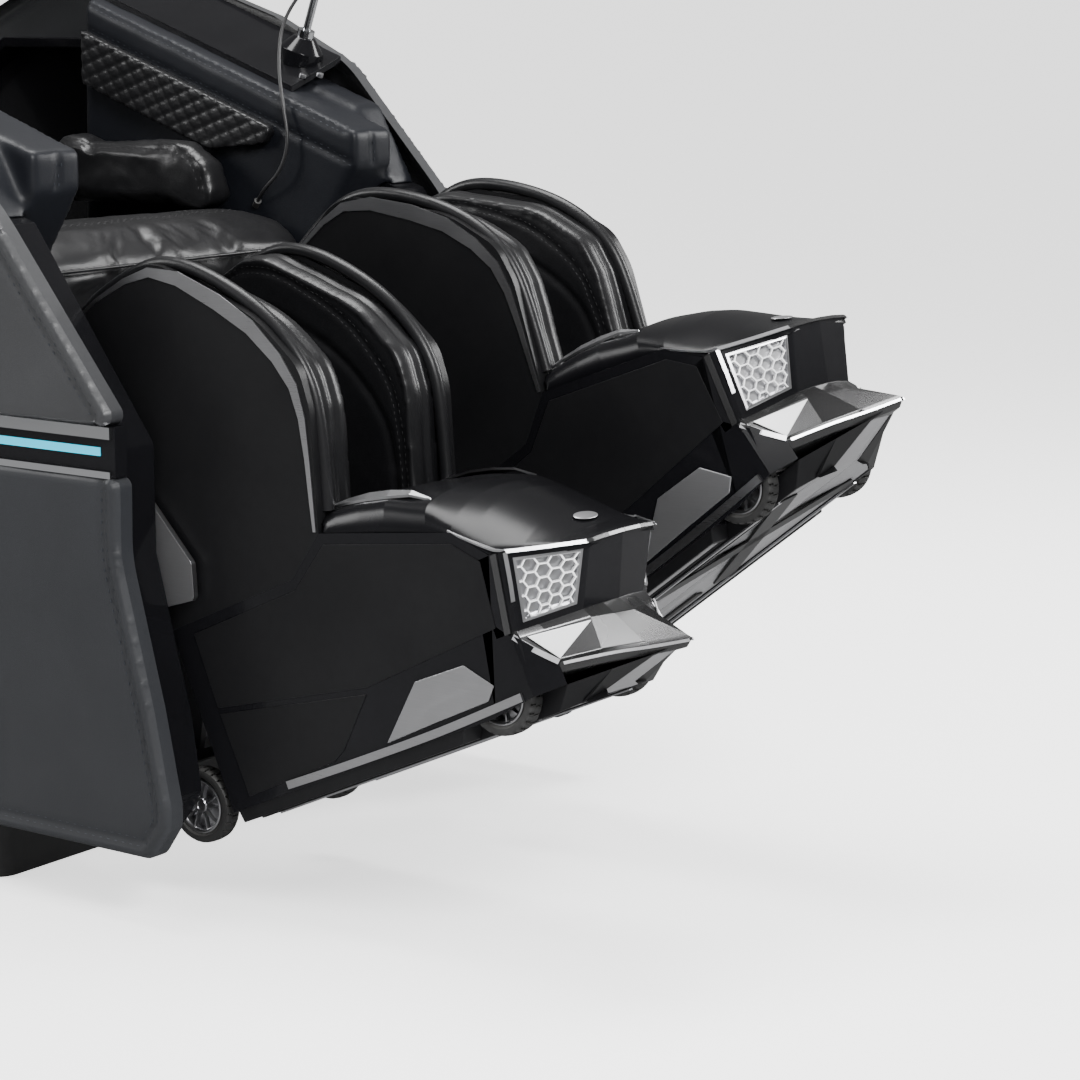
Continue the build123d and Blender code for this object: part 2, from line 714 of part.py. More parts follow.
def back_shell():
    shell = slab(shell_outline, -back_half, back_half, shell_rounds)
    hollow = slab([(-3, shell_floor), (-3, 752), (-48, 782), (-86, 732), (-90, 205), (-66, shell_floor)],
                  -back_half + 8, back_half - 8)
    tube = crosswise(17, -306, 306, 0, 0) - crosswise(recline_pin_d / 2 + running_gap, 255, 307, 0, 0)
    tube -= crosswise(recline_pin_d / 2 + running_gap, -307, -255, 0, 0)
    for x in (-190, 180):
        tube += slab([(-12, 0), (12, 0), (-6, 40), (-60, 40), (-60, 22)], x, x + 10)
    for x in (-50, 42):
        lug = slab([(-4, 740), (-4, 766), (60, 736), (72, 730), (72, 722), (60, 722)], x, x + 8)
        shell += lug
    shell += crosswise(pillow_pin_d / 2, -50, 50, *pillow_axis)
    return (shell - hollow) + tube


pillow_axis = (66.0, 728.0)
pillow_pin_d = 6.0


def back_cushion():
    return slab([(0, 44), (56, 44), (cushion_thick, 120), (58, 300), (54, 560), (44, 690), (0, 716)],
                -back_half + 5, back_half - 5, [(1, 24), (2, 60), (5, 20)])


def shoulder_wing():
    return slab([(-40, 430), (108, 456), (112, 640), (-40, 700)], back_half, shoulder_half, [(1, 40), (2, 40)])


def head_pillow():
    """Pillow on a stiff flap that turns on the pin at the backrest's top."""
    pillow = slab([(62, 560), (112, 580), (116, 690), (64, 704)], -150, 150, [(1, 22), (2, 22)])
    flap = slab([(58, 712), (58, 728), (74, 728), (80, 700), (70, 690)], -40, 40)
    knuckle = crosswise(8, -41, 41, *pillow_axis)
    return (pillow + flap + knuckle) - crosswise(pillow_pin_d / 2 + running_gap, -60, 60, *pillow_axis)


def massage_rails():
    frame = slab([(rail_ahead - 26, rail_bottom), (rail_ahead - 26, rail_bottom + 10),
                  (rail_ahead - 14, rail_bottom + 10), (rail_ahead - 14, rail_bottom)], -rail_x - 12, rail_x + 12)
    frame += slab([(rail_ahead - 26, rail_top - 10), (rail_ahead - 26, rail_top),
                   (rail_ahead - 14, rail_top), (rail_ahead - 14, rail_top - 10)], -rail_x - 12, rail_x + 12)
    for x in (-rail_x, rail_x):
        rod = Pos(x, -rail_ahead + 20, (rail_bottom + rail_top) / 2) * Cylinder(rail_d / 2, rail_top - rail_bottom)
        frame += rod
    return frame


def massage_carriage():
    block = slab([(rail_ahead - 30, carriage_along - carriage_half), (rail_ahead - 30, carriage_along + carriage_half),
                  (rail_ahead - 10, carriage_along + carriage_half),
                  (rail_ahead - 10, carriage_along - carriage_half)], -rail_x - 22, rail_x + 22)
    for x in (-rail_x, rail_x):
        block -= Pos(x, -rail_ahead + 20, carriage_along) * Cylinder(rail_d / 2 + running_gap, 3 * carriage_half)
    for x in (-66, -34, 26, 58):
        block += slab([(rail_ahead - 10, carriage_along - 14), (rail_ahead - 10, carriage_along + 14),
                       (roller_ahead + 8, carriage_along + 8), (roller_ahead + 8, carriage_along - 8)], x, x + 8)
    return block - crosswise(4 + running_gap, -80, 80, roller_ahead, carriage_along)


def massage_rollers():
    rollers = crosswise(4, -72, 72, roller_ahead, carriage_along)
    for x in (-46, 46):
        barrel = crosswise(20, x - 11, x + 11, roller_ahead, carriage_along)
        rollers += fillet(barrel.edges().filter_by(GeomType.CIRCLE), 6)
    return rollers


def save_back():
    place = Pos(0, knee_y - recline_f, recline_z) * Rot(-recline, 0, 0)
    pieces = {
        "back_shell": [back_shell()],
        "back_cushion": [back_cushion()],
        "shoulder_wings": both_sides(shoulder_wing()),
        "head_pillow": [head_pillow()],
        "massage_rails": [massage_rails()],
        "massage_carriage": [massage_carriage()],
        "massage_rollers": [massage_rollers()],
    }
    for name, shapes in pieces.items():
        save(name, *[place * shape for shape in shapes])


def save_root():
    pieces = {
        "base_plinth": [base_plinth()],
        "base_frame": [base_frame()],
        "knee_shaft": [knee_shaft()],
        "leg_motors": both_sides(leg_motor()),
        "side_guards": both_sides(side_guard()),
        "control_box": [control_box()],
        "air_pump": [air_pump()],
        "rear_cover": [rear_cover()],
        "seat_cushion": [seat_cushion()],
        "upper_panels": both_sides(cover(upper_outline, upper_rounds, panel_outer, panel_skin)),
        "lower_panels": both_sides(cover(lower_outline, lower_rounds, panel_outer, panel_skin)),
        "side_liners": both_sides(side_liner()),
        "light_belts": both_sides(light_belt()),
        "light_strips": both_sides(light_strip()),
        "panel_trims": [side for trim in panel_trims() for side in both_sides(trim)],
        "arm_bodies": both_sides(arm_body()),
        "arm_decks": [arm_deck_left(), mirror(arm_deck(), Plane.YZ)],
        "quilt_pads": both_sides(quilt_pad()),
        "hip_pads": both_sides(hip_pad()),
        "stand_socket": [stand_socket()],
        "power_button": [button(button_places[0])],
        "pause_button": [button(button_places[1])],
        "cord_gland": [cord_gland()],
        "remote_cord": [remote_cord()],
        "stand_pole": [stand_pole()],
        "remote_cradle": [remote_cradle()],
        "remote_case": [remote_case()],
    }
    for name, shapes in pieces.items():
        save(name, *shapes)


if __name__ == "__main__":
    save_root()
    save_back()
    save_leg("right", -1, right_pitch)
    save_leg("left", 1, left_pitch)
    print("cord corner radii", [round(radius, 1) for radius in corner_radii(cord_points())])
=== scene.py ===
import bpy, bmesh, json, math
from mathutils import Vector, Matrix, noise
from mathutils.bvhtree import BVHTree
from mathutils.kdtree import KDTree


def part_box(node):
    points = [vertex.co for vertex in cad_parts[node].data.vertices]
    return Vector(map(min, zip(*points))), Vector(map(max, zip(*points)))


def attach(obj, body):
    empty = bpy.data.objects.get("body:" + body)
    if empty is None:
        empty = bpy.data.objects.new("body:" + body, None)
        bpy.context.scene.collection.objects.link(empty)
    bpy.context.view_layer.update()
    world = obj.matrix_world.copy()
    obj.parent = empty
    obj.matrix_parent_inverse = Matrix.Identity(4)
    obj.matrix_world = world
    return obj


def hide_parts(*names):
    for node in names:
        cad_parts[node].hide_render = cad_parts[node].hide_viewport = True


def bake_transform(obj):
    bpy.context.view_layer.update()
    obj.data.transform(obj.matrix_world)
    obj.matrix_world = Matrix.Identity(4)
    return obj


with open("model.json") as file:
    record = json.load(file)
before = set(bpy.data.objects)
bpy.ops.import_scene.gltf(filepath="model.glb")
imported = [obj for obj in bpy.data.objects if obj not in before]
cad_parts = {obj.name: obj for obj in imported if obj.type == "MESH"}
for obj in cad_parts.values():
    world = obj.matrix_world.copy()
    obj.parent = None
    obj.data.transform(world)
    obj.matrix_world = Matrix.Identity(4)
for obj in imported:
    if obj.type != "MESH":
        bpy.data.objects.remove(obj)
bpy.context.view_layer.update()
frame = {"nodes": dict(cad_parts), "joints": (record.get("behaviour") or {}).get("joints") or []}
nodes = frame["nodes"]
scene = bpy.context.scene
print("frame loaded")

joints = {joint["name"]: joint for joint in frame["joints"]}
knee = Vector(joints["left_leg_lift"]["pos_m"])


# node groups shared by the materials

def newGroup(name, inputs, outputs):
    group = bpy.data.node_groups.new(name, "ShaderNodeTree")
    for label, kind, value in inputs:
        socket = group.interface.new_socket(name=label, in_out="INPUT", socket_type=kind)
        if value is not None:
            socket.default_value = value
    for label in outputs:
        group.interface.new_socket(name=label, in_out="OUTPUT", socket_type="NodeSocketFloat")
    return group, group.nodes.new("NodeGroupInput"), group.nodes.new("NodeGroupOutput")


def calc(tree, operation, first, second=0.0, third=None):
    node = tree.nodes.new("ShaderNodeMath")
    node.operation = operation
    for number, value in enumerate((first, second, third)):
        if isinstance(value, (int, float)):
            node.inputs[number].default_value = value
        elif value is not None:
            tree.links.new(value, node.inputs[number])
    return node.outputs[0]


def noiseNode(tree, vector, scale, detail=3.0, roughness=0.5):
    node = tree.nodes.new("ShaderNodeTexNoise")
    node.inputs["Detail"].default_value = detail
    node.inputs["Roughness"].default_value = roughness
    if isinstance(scale, (int, float)):
        node.inputs["Scale"].default_value = scale
    else:
        tree.links.new(scale, node.inputs["Scale"])
    tree.links.new(vector, node.inputs["Vector"])
    return node.outputs["Fac"]


surfaceInputs = [("Vector", "NodeSocketVector", None), ("Scale", "NodeSocketFloat", 700.0),
                 ("Crease", "NodeSocketFloat", 0.3)]


def makeLeatherGroup():
    group, source, result = newGroup("leatherGrain", surfaceInputs, ["Height", "Shade"])
    cells = group.nodes.new("ShaderNodeTexVoronoi")
    cells.feature = "SMOOTH_F1"
    group.links.new(source.outputs["Vector"], cells.inputs["Vector"])
    group.links.new(source.outputs["Scale"], cells.inputs["Scale"])
    pebble = calc(group, "MULTIPLY", cells.outputs["Distance"], 0.7)
    poreScale = calc(group, "MULTIPLY", source.outputs["Scale"], 0.4)
    pores = noiseNode(group, source.outputs["Vector"], poreScale, 4.0)
    folds = noiseNode(group, source.outputs["Vector"], 26.0, 5.0, 0.55)
    swing = calc(group, "ABSOLUTE", calc(group, "MULTIPLY_ADD", folds, 4.0, -2.0))
    ridge = calc(group, "SUBTRACT", 1.0, swing)
    folded = calc(group, "MULTIPLY", calc(group, "MAXIMUM", ridge, 0.0), source.outputs["Crease"])
    height = calc(group, "ADD", calc(group, "ADD", pebble, calc(group, "MULTIPLY", pores, 0.35)), folded)
    group.links.new(height, result.inputs["Height"])
    patches = noiseNode(group, source.outputs["Vector"], 9.0, 3.0)
    shade = calc(group, "ADD", calc(group, "MULTIPLY", patches, 0.6), calc(group, "MULTIPLY", pores, 0.4))
    group.links.new(shade, result.inputs["Shade"])
    return group


def makePlasticGroup():
    group, source, result = newGroup("mouldedGrain", surfaceInputs, ["Height", "Shade"])
    grain = noiseNode(group, source.outputs["Vector"], source.outputs["Scale"], 2.0)
    flow = noiseNode(group, source.outputs["Vector"], 7.0, 3.0)
    scuffs = noiseNode(group, source.outputs["Vector"], 60.0, 6.0, 0.7)
    worn = calc(group, "MULTIPLY", calc(group, "MAXIMUM", calc(group, "SUBTRACT", scuffs, 0.62), 0.0),
                source.outputs["Crease"])
    group.links.new(grain, result.inputs["Height"])
    group.links.new(calc(group, "ADD", flow, worn), result.inputs["Shade"])
    return group


def makeBrushedGroup():
    group, source, result = newGroup("brushedLines", surfaceInputs, ["Height", "Shade"])
    stretch = group.nodes.new("ShaderNodeMapping")
    stretch.inputs["Scale"].default_value = (1.0, 0.02, 1.0)
    stretch.inputs["Rotation"].default_value = (0.6, 0.0, 0.0)
    group.links.new(source.outputs["Vector"], stretch.inputs["Vector"])
    lines = noiseNode(group, stretch.outputs["Vector"], source.outputs["Scale"], 3.0)
    cloud = noiseNode(group, source.outputs["Vector"], 12.0, 2.0)
    group.links.new(lines, result.inputs["Height"])
    shade = calc(group, "ADD", calc(group, "MULTIPLY", lines, 0.6), calc(group, "MULTIPLY", cloud, 0.4))
    group.links.new(shade, result.inputs["Shade"])
    return group


def makeWearGroup():
    group, source, result = newGroup("edgeWear", [("Vector", "NodeSocketVector", None),
                                                  ("Amount", "NodeSocketFloat", 0.3)], ["Mask"])
    shape = group.nodes.new("ShaderNodeNewGeometry")
    ramp = group.nodes.new("ShaderNodeMapRange")
    ramp.inputs["From Min"].default_value = 0.52
    ramp.inputs["From Max"].default_value = 0.62
    group.links.new(shape.outputs["Pointiness"], ramp.inputs["Value"])
    broken = noiseNode(group, source.outputs["Vector"], 90.0, 5.0, 0.65)
    patchy = calc(group, "MULTIPLY", broken, source.outputs["Amount"])
    mask = calc(group, "MULTIPLY", ramp.outputs["Result"], patchy)
    group.links.new(mask, result.inputs["Mask"])
    return group


def makeDustGroup():
    group, source, result = newGroup("restingDust", [("Vector", "NodeSocketVector", None),
                                                     ("Amount", "NodeSocketFloat", 0.05)], ["Mask"])
    shape = group.nodes.new("ShaderNodeNewGeometry")
    split = group.nodes.new("ShaderNodeSeparateXYZ")
    group.links.new(shape.outputs["Normal"], split.inputs["Vector"])
    specks = noiseNode(group, source.outputs["Vector"], 240.0, 6.0, 0.7)
    facing = calc(group, "MAXIMUM", split.outputs["Z"], 0.0)
    mask = calc(group, "MULTIPLY", calc(group, "MULTIPLY", facing, specks), source.outputs["Amount"])
    group.links.new(mask, result.inputs["Mask"])
    return group


grains = {"leather": makeLeatherGroup(), "plastic": makePlasticGroup(), "brushed": makeBrushedGroup()}
wearGroup = makeWearGroup()
dustGroup = makeDustGroup()


def paint(name, grain, dark, light, rough, spread=0.08, metal=0.0, coat=0.0, scale=700.0, crease=0.3,
          depth=0.0002, wear=0.15, worn=(0.3, 0.3, 0.31), dust=0.04, glow=None, gloss=0.5):
    material = bpy.data.materials.new(name)
    material.use_nodes = True
    tree = material.node_tree
    shader = tree.nodes["Principled BSDF"]
    place = tree.nodes.new("ShaderNodeTexCoord")
    vector = place.outputs["Object"]
    surface = tree.nodes.new("ShaderNodeGroup")
    surface.node_tree = grains[grain]
    surface.inputs["Scale"].default_value = scale
    surface.inputs["Crease"].default_value = crease
    tree.links.new(vector, surface.inputs["Vector"])
    colour = tree.nodes.new("ShaderNodeMix")
    colour.data_type = "RGBA"
    colour.inputs[6].default_value = (*dark, 1.0)
    colour.inputs[7].default_value = (*light, 1.0)
    tree.links.new(surface.outputs["Shade"], colour.inputs[0])
    last = colour.outputs[2]
    for group, amount, tint in ((wearGroup, wear, worn), (dustGroup, dust, (0.5, 0.49, 0.47))):
        if amount:
            mask = tree.nodes.new("ShaderNodeGroup")
            mask.node_tree = group
            mask.inputs["Amount"].default_value = amount
            tree.links.new(vector, mask.inputs["Vector"])
            over = tree.nodes.new("ShaderNodeMix")
            over.data_type = "RGBA"
            over.inputs[7].default_value = (*tint, 1.0)
            tree.links.new(mask.outputs["Mask"], over.inputs[0])
            tree.links.new(last, over.inputs[6])
            last = over.outputs[2]
    tree.links.new(last, shader.inputs["Base Color"])
    spreadNode = tree.nodes.new("ShaderNodeMapRange")
    spreadNode.inputs["To Min"].default_value = max(rough - spread, 0.02)
    spreadNode.inputs["To Max"].default_value = rough + spread
    tree.links.new(surface.outputs["Shade"], spreadNode.inputs["Value"])
    tree.links.new(spreadNode.outputs["Result"], shader.inputs["Roughness"])
    bump = tree.nodes.new("ShaderNodeBump")
    bump.inputs["Strength"].default_value = 0.8
    bump.inputs["Distance"].default_value = depth
    tree.links.new(surface.outputs["Height"], bump.inputs["Height"])
    tree.links.new(bump.outputs["Normal"], shader.inputs["Normal"])
    shader.inputs["Metallic"].default_value = metal
    shader.inputs["Specular IOR Level"].default_value = gloss
    shader.inputs["Coat Weight"].default_value = coat
    shader.inputs["Coat Roughness"].default_value = 0.08
    if glow:
        shader.inputs["Emission Color"].default_value = (*glow, 1.0)
        shader.inputs["Emission Strength"].default_value = 2.4
    return material


blueLeather = paint("blueLeather", "leather", (0.011, 0.0117, 0.0138), (0.018, 0.0193, 0.0222), 0.52,
                    crease=0.25, scale=620.0, wear=0.1, worn=(0.06, 0.065, 0.075), gloss=0.32)
darkLeather = paint("darkLeather", "leather", (0.016, 0.0165, 0.018), (0.028, 0.029, 0.031), 0.42, crease=0.5,
                    scale=620.0, wear=0.1, worn=(0.09, 0.09, 0.1), gloss=0.45)
armLeather = paint("armLeather", "leather", (0.0045, 0.005, 0.007), (0.009, 0.010, 0.013), 0.42, crease=0.25,
                   wear=0.06, worn=(0.04, 0.045, 0.055), dust=0.01, gloss=0.2)
blackLeather = paint("blackLeather", "leather", (0.004, 0.004, 0.0045), (0.010, 0.010, 0.011), 0.36,
                     crease=0.35, scale=640.0, depth=0.00016, wear=0.05, worn=(0.04, 0.04, 0.045), dust=0.01,
                     gloss=0.35)
padLeather = paint("padLeather", "leather", (0.003, 0.003, 0.0035), (0.009, 0.009, 0.010), 0.36,
                   crease=0.4, scale=560.0, depth=0.00018, wear=0.05, worn=(0.04, 0.04, 0.045), dust=0.01,
                   gloss=0.3)
satinBlack = paint("satinBlack", "plastic", (0.003, 0.003, 0.0035), (0.007, 0.007, 0.0075), 0.34,
                   scale=1600.0, depth=0.00003, wear=0.08, worn=(0.08, 0.08, 0.085), dust=0.006, gloss=0.16)
glossBlack = paint("glossBlack", "plastic", (0.002, 0.002, 0.0025), (0.005, 0.005, 0.006), 0.17, spread=0.05,
                   coat=0.12, scale=900.0, depth=0.00001, wear=0.06, worn=(0.08, 0.08, 0.085), dust=0.005,
                   gloss=0.18)
hoodShell = paint("hoodShell", "plastic", (0.002, 0.002, 0.0025), (0.005, 0.005, 0.006), 0.26, spread=0.05,
                  coat=0.0, scale=1500.0, depth=0.00002, wear=0.05, worn=(0.08, 0.08, 0.085), dust=0.005,
                  gloss=0.14)
greyPaint = paint("greyPaint", "plastic", (0.055, 0.055, 0.056), (0.085, 0.085, 0.086), 0.26, metal=0.85,
                  coat=0.2, scale=2400.0, depth=0.00002, wear=0.15, dust=0.01)
matBlack = paint("matBlack", "plastic", (0.004, 0.004, 0.0045), (0.010, 0.010, 0.0105), 0.55, scale=900.0,
                 depth=0.00012, wear=0.2, worn=(0.1, 0.1, 0.1), dust=0.03, gloss=0.3)
soleGrey = paint("soleGrey", "plastic", (0.09, 0.09, 0.093), (0.13, 0.13, 0.134), 0.42, scale=1200.0,
                 depth=0.0001, wear=0.5)
brushedSilver = paint("brushedSilver", "brushed", (0.42, 0.42, 0.43), (0.66, 0.66, 0.68), 0.3, metal=1.0,
                      scale=1500.0, depth=0.00003, wear=0.2, worn=(0.8, 0.8, 0.82), dust=0.02)
dullSilver = paint("dullSilver", "brushed", (0.30, 0.30, 0.31), (0.46, 0.46, 0.47), 0.38, metal=0.9,
                   scale=1800.0, depth=0.00003, wear=0.2, worn=(0.7, 0.7, 0.72), dust=0.03)
brightChrome = paint("brightChrome", "plastic", (0.70, 0.71, 0.73), (0.82, 0.83, 0.85), 0.1, spread=0.05,
                     metal=1.0, scale=900.0, depth=0.00001, wear=0.0, dust=0.02)
whiteSilver = paint("whiteSilver", "plastic", (0.78, 0.79, 0.80), (0.88, 0.88, 0.89), 0.3, metal=0.05,
                    scale=1500.0, depth=0.00002, wear=0.1, worn=(0.4, 0.4, 0.41))
tyreRubber = paint("tyreRubber", "plastic", (0.005, 0.005, 0.005), (0.012, 0.012, 0.012), 0.6, scale=700.0,
                   depth=0.0002, wear=0.5, worn=(0.12, 0.12, 0.12), dust=0.14)
rollerRubber = paint("rollerRubber", "plastic", (0.05, 0.05, 0.052), (0.09, 0.09, 0.092), 0.6, scale=800.0,
                     depth=0.0002)
frameBlack = paint("frameBlack", "plastic", (0.014, 0.014, 0.015), (0.026, 0.026, 0.028), 0.5, scale=1500.0,
                   depth=0.0001, wear=0.6, worn=(0.35, 0.35, 0.36))
groundSteel = paint("groundSteel", "brushed", (0.45, 0.45, 0.46), (0.6, 0.6, 0.61), 0.28, metal=1.0,
                    scale=1200.0, depth=0.00004)
cyanLight = paint("cyanLight", "plastic", (0.0, 0.30, 0.42), (0.01, 0.36, 0.48), 0.3, scale=900.0,
                  depth=0.00001, wear=0.0, dust=0.0, glow=(0.0, 0.11, 0.18))
cordGrey = paint("cordGrey", "plastic", (0.012, 0.012, 0.013), (0.02, 0.02, 0.021), 0.4, scale=1100.0,
                 depth=0.00006, wear=0.0)
blackThread = paint("blackThread", "leather", (0.008, 0.008, 0.009), (0.02, 0.02, 0.022), 0.6, scale=2500.0,
                    depth=0.00008, wear=0.0)
blueThread = paint("blueThread", "leather", (0.008, 0.011, 0.017), (0.016, 0.021, 0.03), 0.6, scale=2500.0,
                   depth=0.00008, wear=0.0)
screenGlass = paint("screenGlass", "plastic", (0.004, 0.005, 0.008), (0.008, 0.010, 0.014), 0.08, spread=0.03,
                    coat=0.8, scale=900.0, depth=0.000005, wear=0.0)
keyGrey = paint("keyGrey", "plastic", (0.16, 0.16, 0.165), (0.22, 0.22, 0.225), 0.5, scale=1300.0,
                depth=0.00006)
print("materials built")


# places

def chair(x, forward, up):
    return Vector((x / 1000, knee.y - forward / 1000, up / 1000))


def legMatrix(side):
    rear = Vector(joints[side + "_rear_wheels_turn"]["pos_m"])
    front = Vector(joints[side + "_front_wheels_turn"]["pos_m"])
    pitch = math.atan2(front.z - rear.z, rear.y - front.y)
    hinge = Vector(joints[side + "_leg_lift"]["pos_m"])
    return Matrix.Translation(hinge) @ Matrix.Rotation(-pitch, 4, "X")


def local(x, forward, up):
    return Vector((x / 1000, -forward / 1000, up / 1000))


legs = {"right": legMatrix("right"), "left": legMatrix("left")}


# pieces

def markSharp(bm, angle=0.6):
    for face in bm.faces:
        face.smooth = True
    for edge in bm.edges:
        edge.smooth = len(edge.link_faces) == 2 and edge.calc_face_angle(0.0) < angle


def makePiece(name, bm, body, materials, stands=(), matrix=None, recalc=True, angle=0.6,
              weighted=True):
    if matrix is not None:
        bmesh.ops.transform(bm, matrix=matrix, verts=bm.verts)
    if recalc:
        bmesh.ops.recalc_face_normals(bm, faces=bm.faces)
    markSharp(bm, angle)
    mesh = bpy.data.meshes.new(name)
    bm.to_mesh(mesh)
    bm.free()
    piece = bpy.data.objects.new(name, mesh)
    scene.collection.objects.link(piece)
    for material in materials if isinstance(materials, (list, tuple)) else [materials]:
        mesh.materials.append(material)
    if weighted:
        even = piece.modifiers.new("evenShading", "WEIGHTED_NORMAL")
        even.keep_sharp = True
    if body:
        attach(piece, body)
    if stands:
        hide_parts(*stands)
    return piece


def copyNode(*names):
    bm = bmesh.new()
    for name in names:
        bm.from_mesh(nodes[name].data)
    bmesh.ops.remove_doubles(bm, verts=bm.verts, dist=0.00002)
    return bm


def softenEdges(bm, edges, width):
    bmesh.ops.bevel(bm, geom=edges, offset=width, offset_type="OFFSET", affect="EDGES", segments=2,
                    profile=0.5, clamp_overlap=True, material=-1)


def cornersOver(bm, angle):
    return [edge for edge in bm.edges if len(edge.link_faces) == 2 and edge.calc_face_angle(0.0) > angle]


def roundEdges(bm, width):
    bmesh.ops.dissolve_limit(bm, angle_limit=0.01, verts=bm.verts, edges=bm.edges)
    softenEdges(bm, cornersOver(bm, 0.5), width)


sunkLook = {"border": 0.035, "step": 0.004}


def moulded(name, node, body, material, width=0.0015, sunk=0.0):
    # a model piece with rounded edges and, where sunk is given, a recess in its rear face
    bm = copyNode(node)
    if sunk:
        bmesh.ops.dissolve_limit(bm, angle_limit=0.02, verts=bm.verts, edges=bm.edges)
        rear = max(bm.faces, key=lambda face: face.calc_area() * face.normal.y)
        bmesh.ops.inset_region(bm, faces=[rear], thickness=sunkLook["border"], use_even_offset=True,
                               use_boundary=True)
        bmesh.ops.inset_region(bm, faces=[rear], thickness=sunkLook["step"], depth=-sunk,
                               use_even_offset=True)
    roundEdges(bm, width)
    return makePiece(name, bm, body, material, [node], recalc=False)


def sweepFace(bm, stations):
    # a face carried through stations, each a list of corner points
    face = bm.faces.new([bm.verts.new(point) for point in stations[0]])
    for before, station in zip(stations, stations[1:]):
        grown = bmesh.ops.extrude_face_region(bm, geom=[face])["geom"]
        face = [item for item in grown if isinstance(item, bmesh.types.BMFace)][0]
        for vert in face.verts:
            number = min(range(len(before)), key=lambda n: (vert.co - before[n]).length)
            vert.co = station[number]
    return face


def ribbon(bm, path, across, width, out, thick):
    # a flat strip along a path: across and out are the strip's width and thickness directions
    stations = []
    for point in path:
        low, high = point - across * width / 2, point + across * width / 2
        stations.append([low, high, high + out * thick, low + out * thick])
    sweepFace(bm, stations)


def smoothPath(points, step=0.006):
    # a flowing line through given points, sampled evenly
    dense = []
    count = len(points)
    for number in range(count - 1):
        a, b = points[max(number - 1, 0)], points[number]
        c, d = points[number + 1], points[min(number + 2, count - 1)]
        pieces = max(2, int((c - b).length / step))
        for k in range(pieces):
            t = k / pieces
            dense.append(0.5 * (2 * b + (c - a) * t + (2 * a - 5 * b + 4 * c - d) * t * t
                                + (3 * b - a - 3 * c + d) * t ** 3))
    dense.append(points[-1])
    return dense


def workedMesh(holder):
    # an object's mesh with its curve or modifiers worked out
    bpy.context.view_layer.update()
    return bpy.data.meshes.new_from_object(holder.evaluated_get(bpy.context.evaluated_depsgraph_get()))


def tube(name, points, radius, body, material, matrix=None, closed=False):
    curve = bpy.data.curves.new(name, "CURVE")
    curve.dimensions = "3D"
    spline = curve.splines.new("NURBS")
    spline.points.add(len(points) - 1)
    for target, point in zip(spline.points, points):
        place = matrix @ point if matrix is not None else point
        target.co = (*place, 1.0)
    spline.order_u = 4
    spline.use_endpoint_u = not closed
    spline.use_cyclic_u = closed
    curve.bevel_depth = radius
    curve.bevel_resolution = 4
    curve.resolution_u = 6
    curve.use_fill_caps = not closed
    holder = bpy.data.objects.new(name + "Line", curve)
    scene.collection.objects.link(holder)
    mesh = workedMesh(holder)
    bpy.data.objects.remove(holder)
    bm = bmesh.new()
    bm.from_mesh(mesh)
    bmesh.ops.remove_doubles(bm, verts=bm.verts, dist=0.00001)
    return makePiece(name, bm, body, material, weighted=False)


def applied(piece):
    # works a piece's modifiers into its mesh
    result = workedMesh(piece)
    piece.modifiers.clear()
    old = piece.data
    piece.data = result
    bpy.data.meshes.remove(old)


clothFrames = 20


def softPiece(name, nodeNames, body, material, look):
    bm = copyNode(*nodeNames)
    piece = makePiece(name, bm, body, material, recalc=False, weighted=False)
    grid = piece.modifiers.new("grid", "REMESH")
    grid.mode = "VOXEL"
    grid.voxel_size = look["voxel"]
    applied(piece)
    bm = bmesh.new()
    bm.from_mesh(piece.data)
    for _ in range(look["smooth"]):
        bmesh.ops.smooth_vert(bm, verts=bm.verts, factor=0.5, use_axis_x=True, use_axis_y=True,
                              use_axis_z=True)
    bm.to_mesh(piece.data)
    bm.free()
    if look.get("puff"):
        inflate(piece, look)
    piece.data.materials.clear()
    piece.data.materials.append(material)
    for polygon in piece.data.polygons:
        polygon.use_smooth = True
    return piece


def inflate(piece, look):
    # lets air pressure swell a piece, no further than its puff
    start = [vert.co.copy() for vert in piece.data.vertices]
    cloth = piece.modifiers.new("cloth", "CLOTH")
    cloth.settings.quality = 4
    cloth.settings.use_pressure = True
    cloth.settings.uniform_pressure_force = look["pressure"]
    cloth.settings.effector_weights.gravity = 0.0
    cloth.point_cache.frame_start = 1
    cloth.point_cache.frame_end = clothFrames
    for step in range(1, clothFrames + 1):
        scene.frame_set(step)
    applied(piece)
    scene.frame_set(1)
    for vert, home in zip(piece.data.vertices, start):
        moved = vert.co - home
        if moved.length > look["puff"]:
            vert.co = home + moved.normalized() * look["puff"]


def reshape(piece, rule):
    # moves every vertex by a rule of its place and normal
    moved = [rule(vert.co.copy(), vert.normal.copy()) for vert in piece.data.vertices]
    for vert, place in zip(piece.data.vertices, moved):
        vert.co = place
    piece.data.update()


def surfaceOf(piece):
    places = [vert.co for vert in piece.data.vertices]
    return BVHTree.FromPolygons(places, [face.vertices[:] for face in piece.data.polygons])


def nearestOf(points):
    tree = KDTree(len(points))
    for number, point in enumerate(points):
        tree.insert(point, number)
    tree.balance()
    return tree


def pressSeam(piece, lines, depth, width):
    # sinks a soft channel into a padded piece along some lines
    tree = nearestOf([point for line in lines for point in line])

    def sink(place, normal):
        gap = tree.find(place)[2]
        if gap > width:
            return place
        return place - normal * depth * (0.5 + 0.5 * math.cos(math.pi * gap / width)) ** 1.5
    reshape(piece, sink)


stitchLook = {"length": 0.0052, "pitch": 0.0078, "thick": 0.0006}


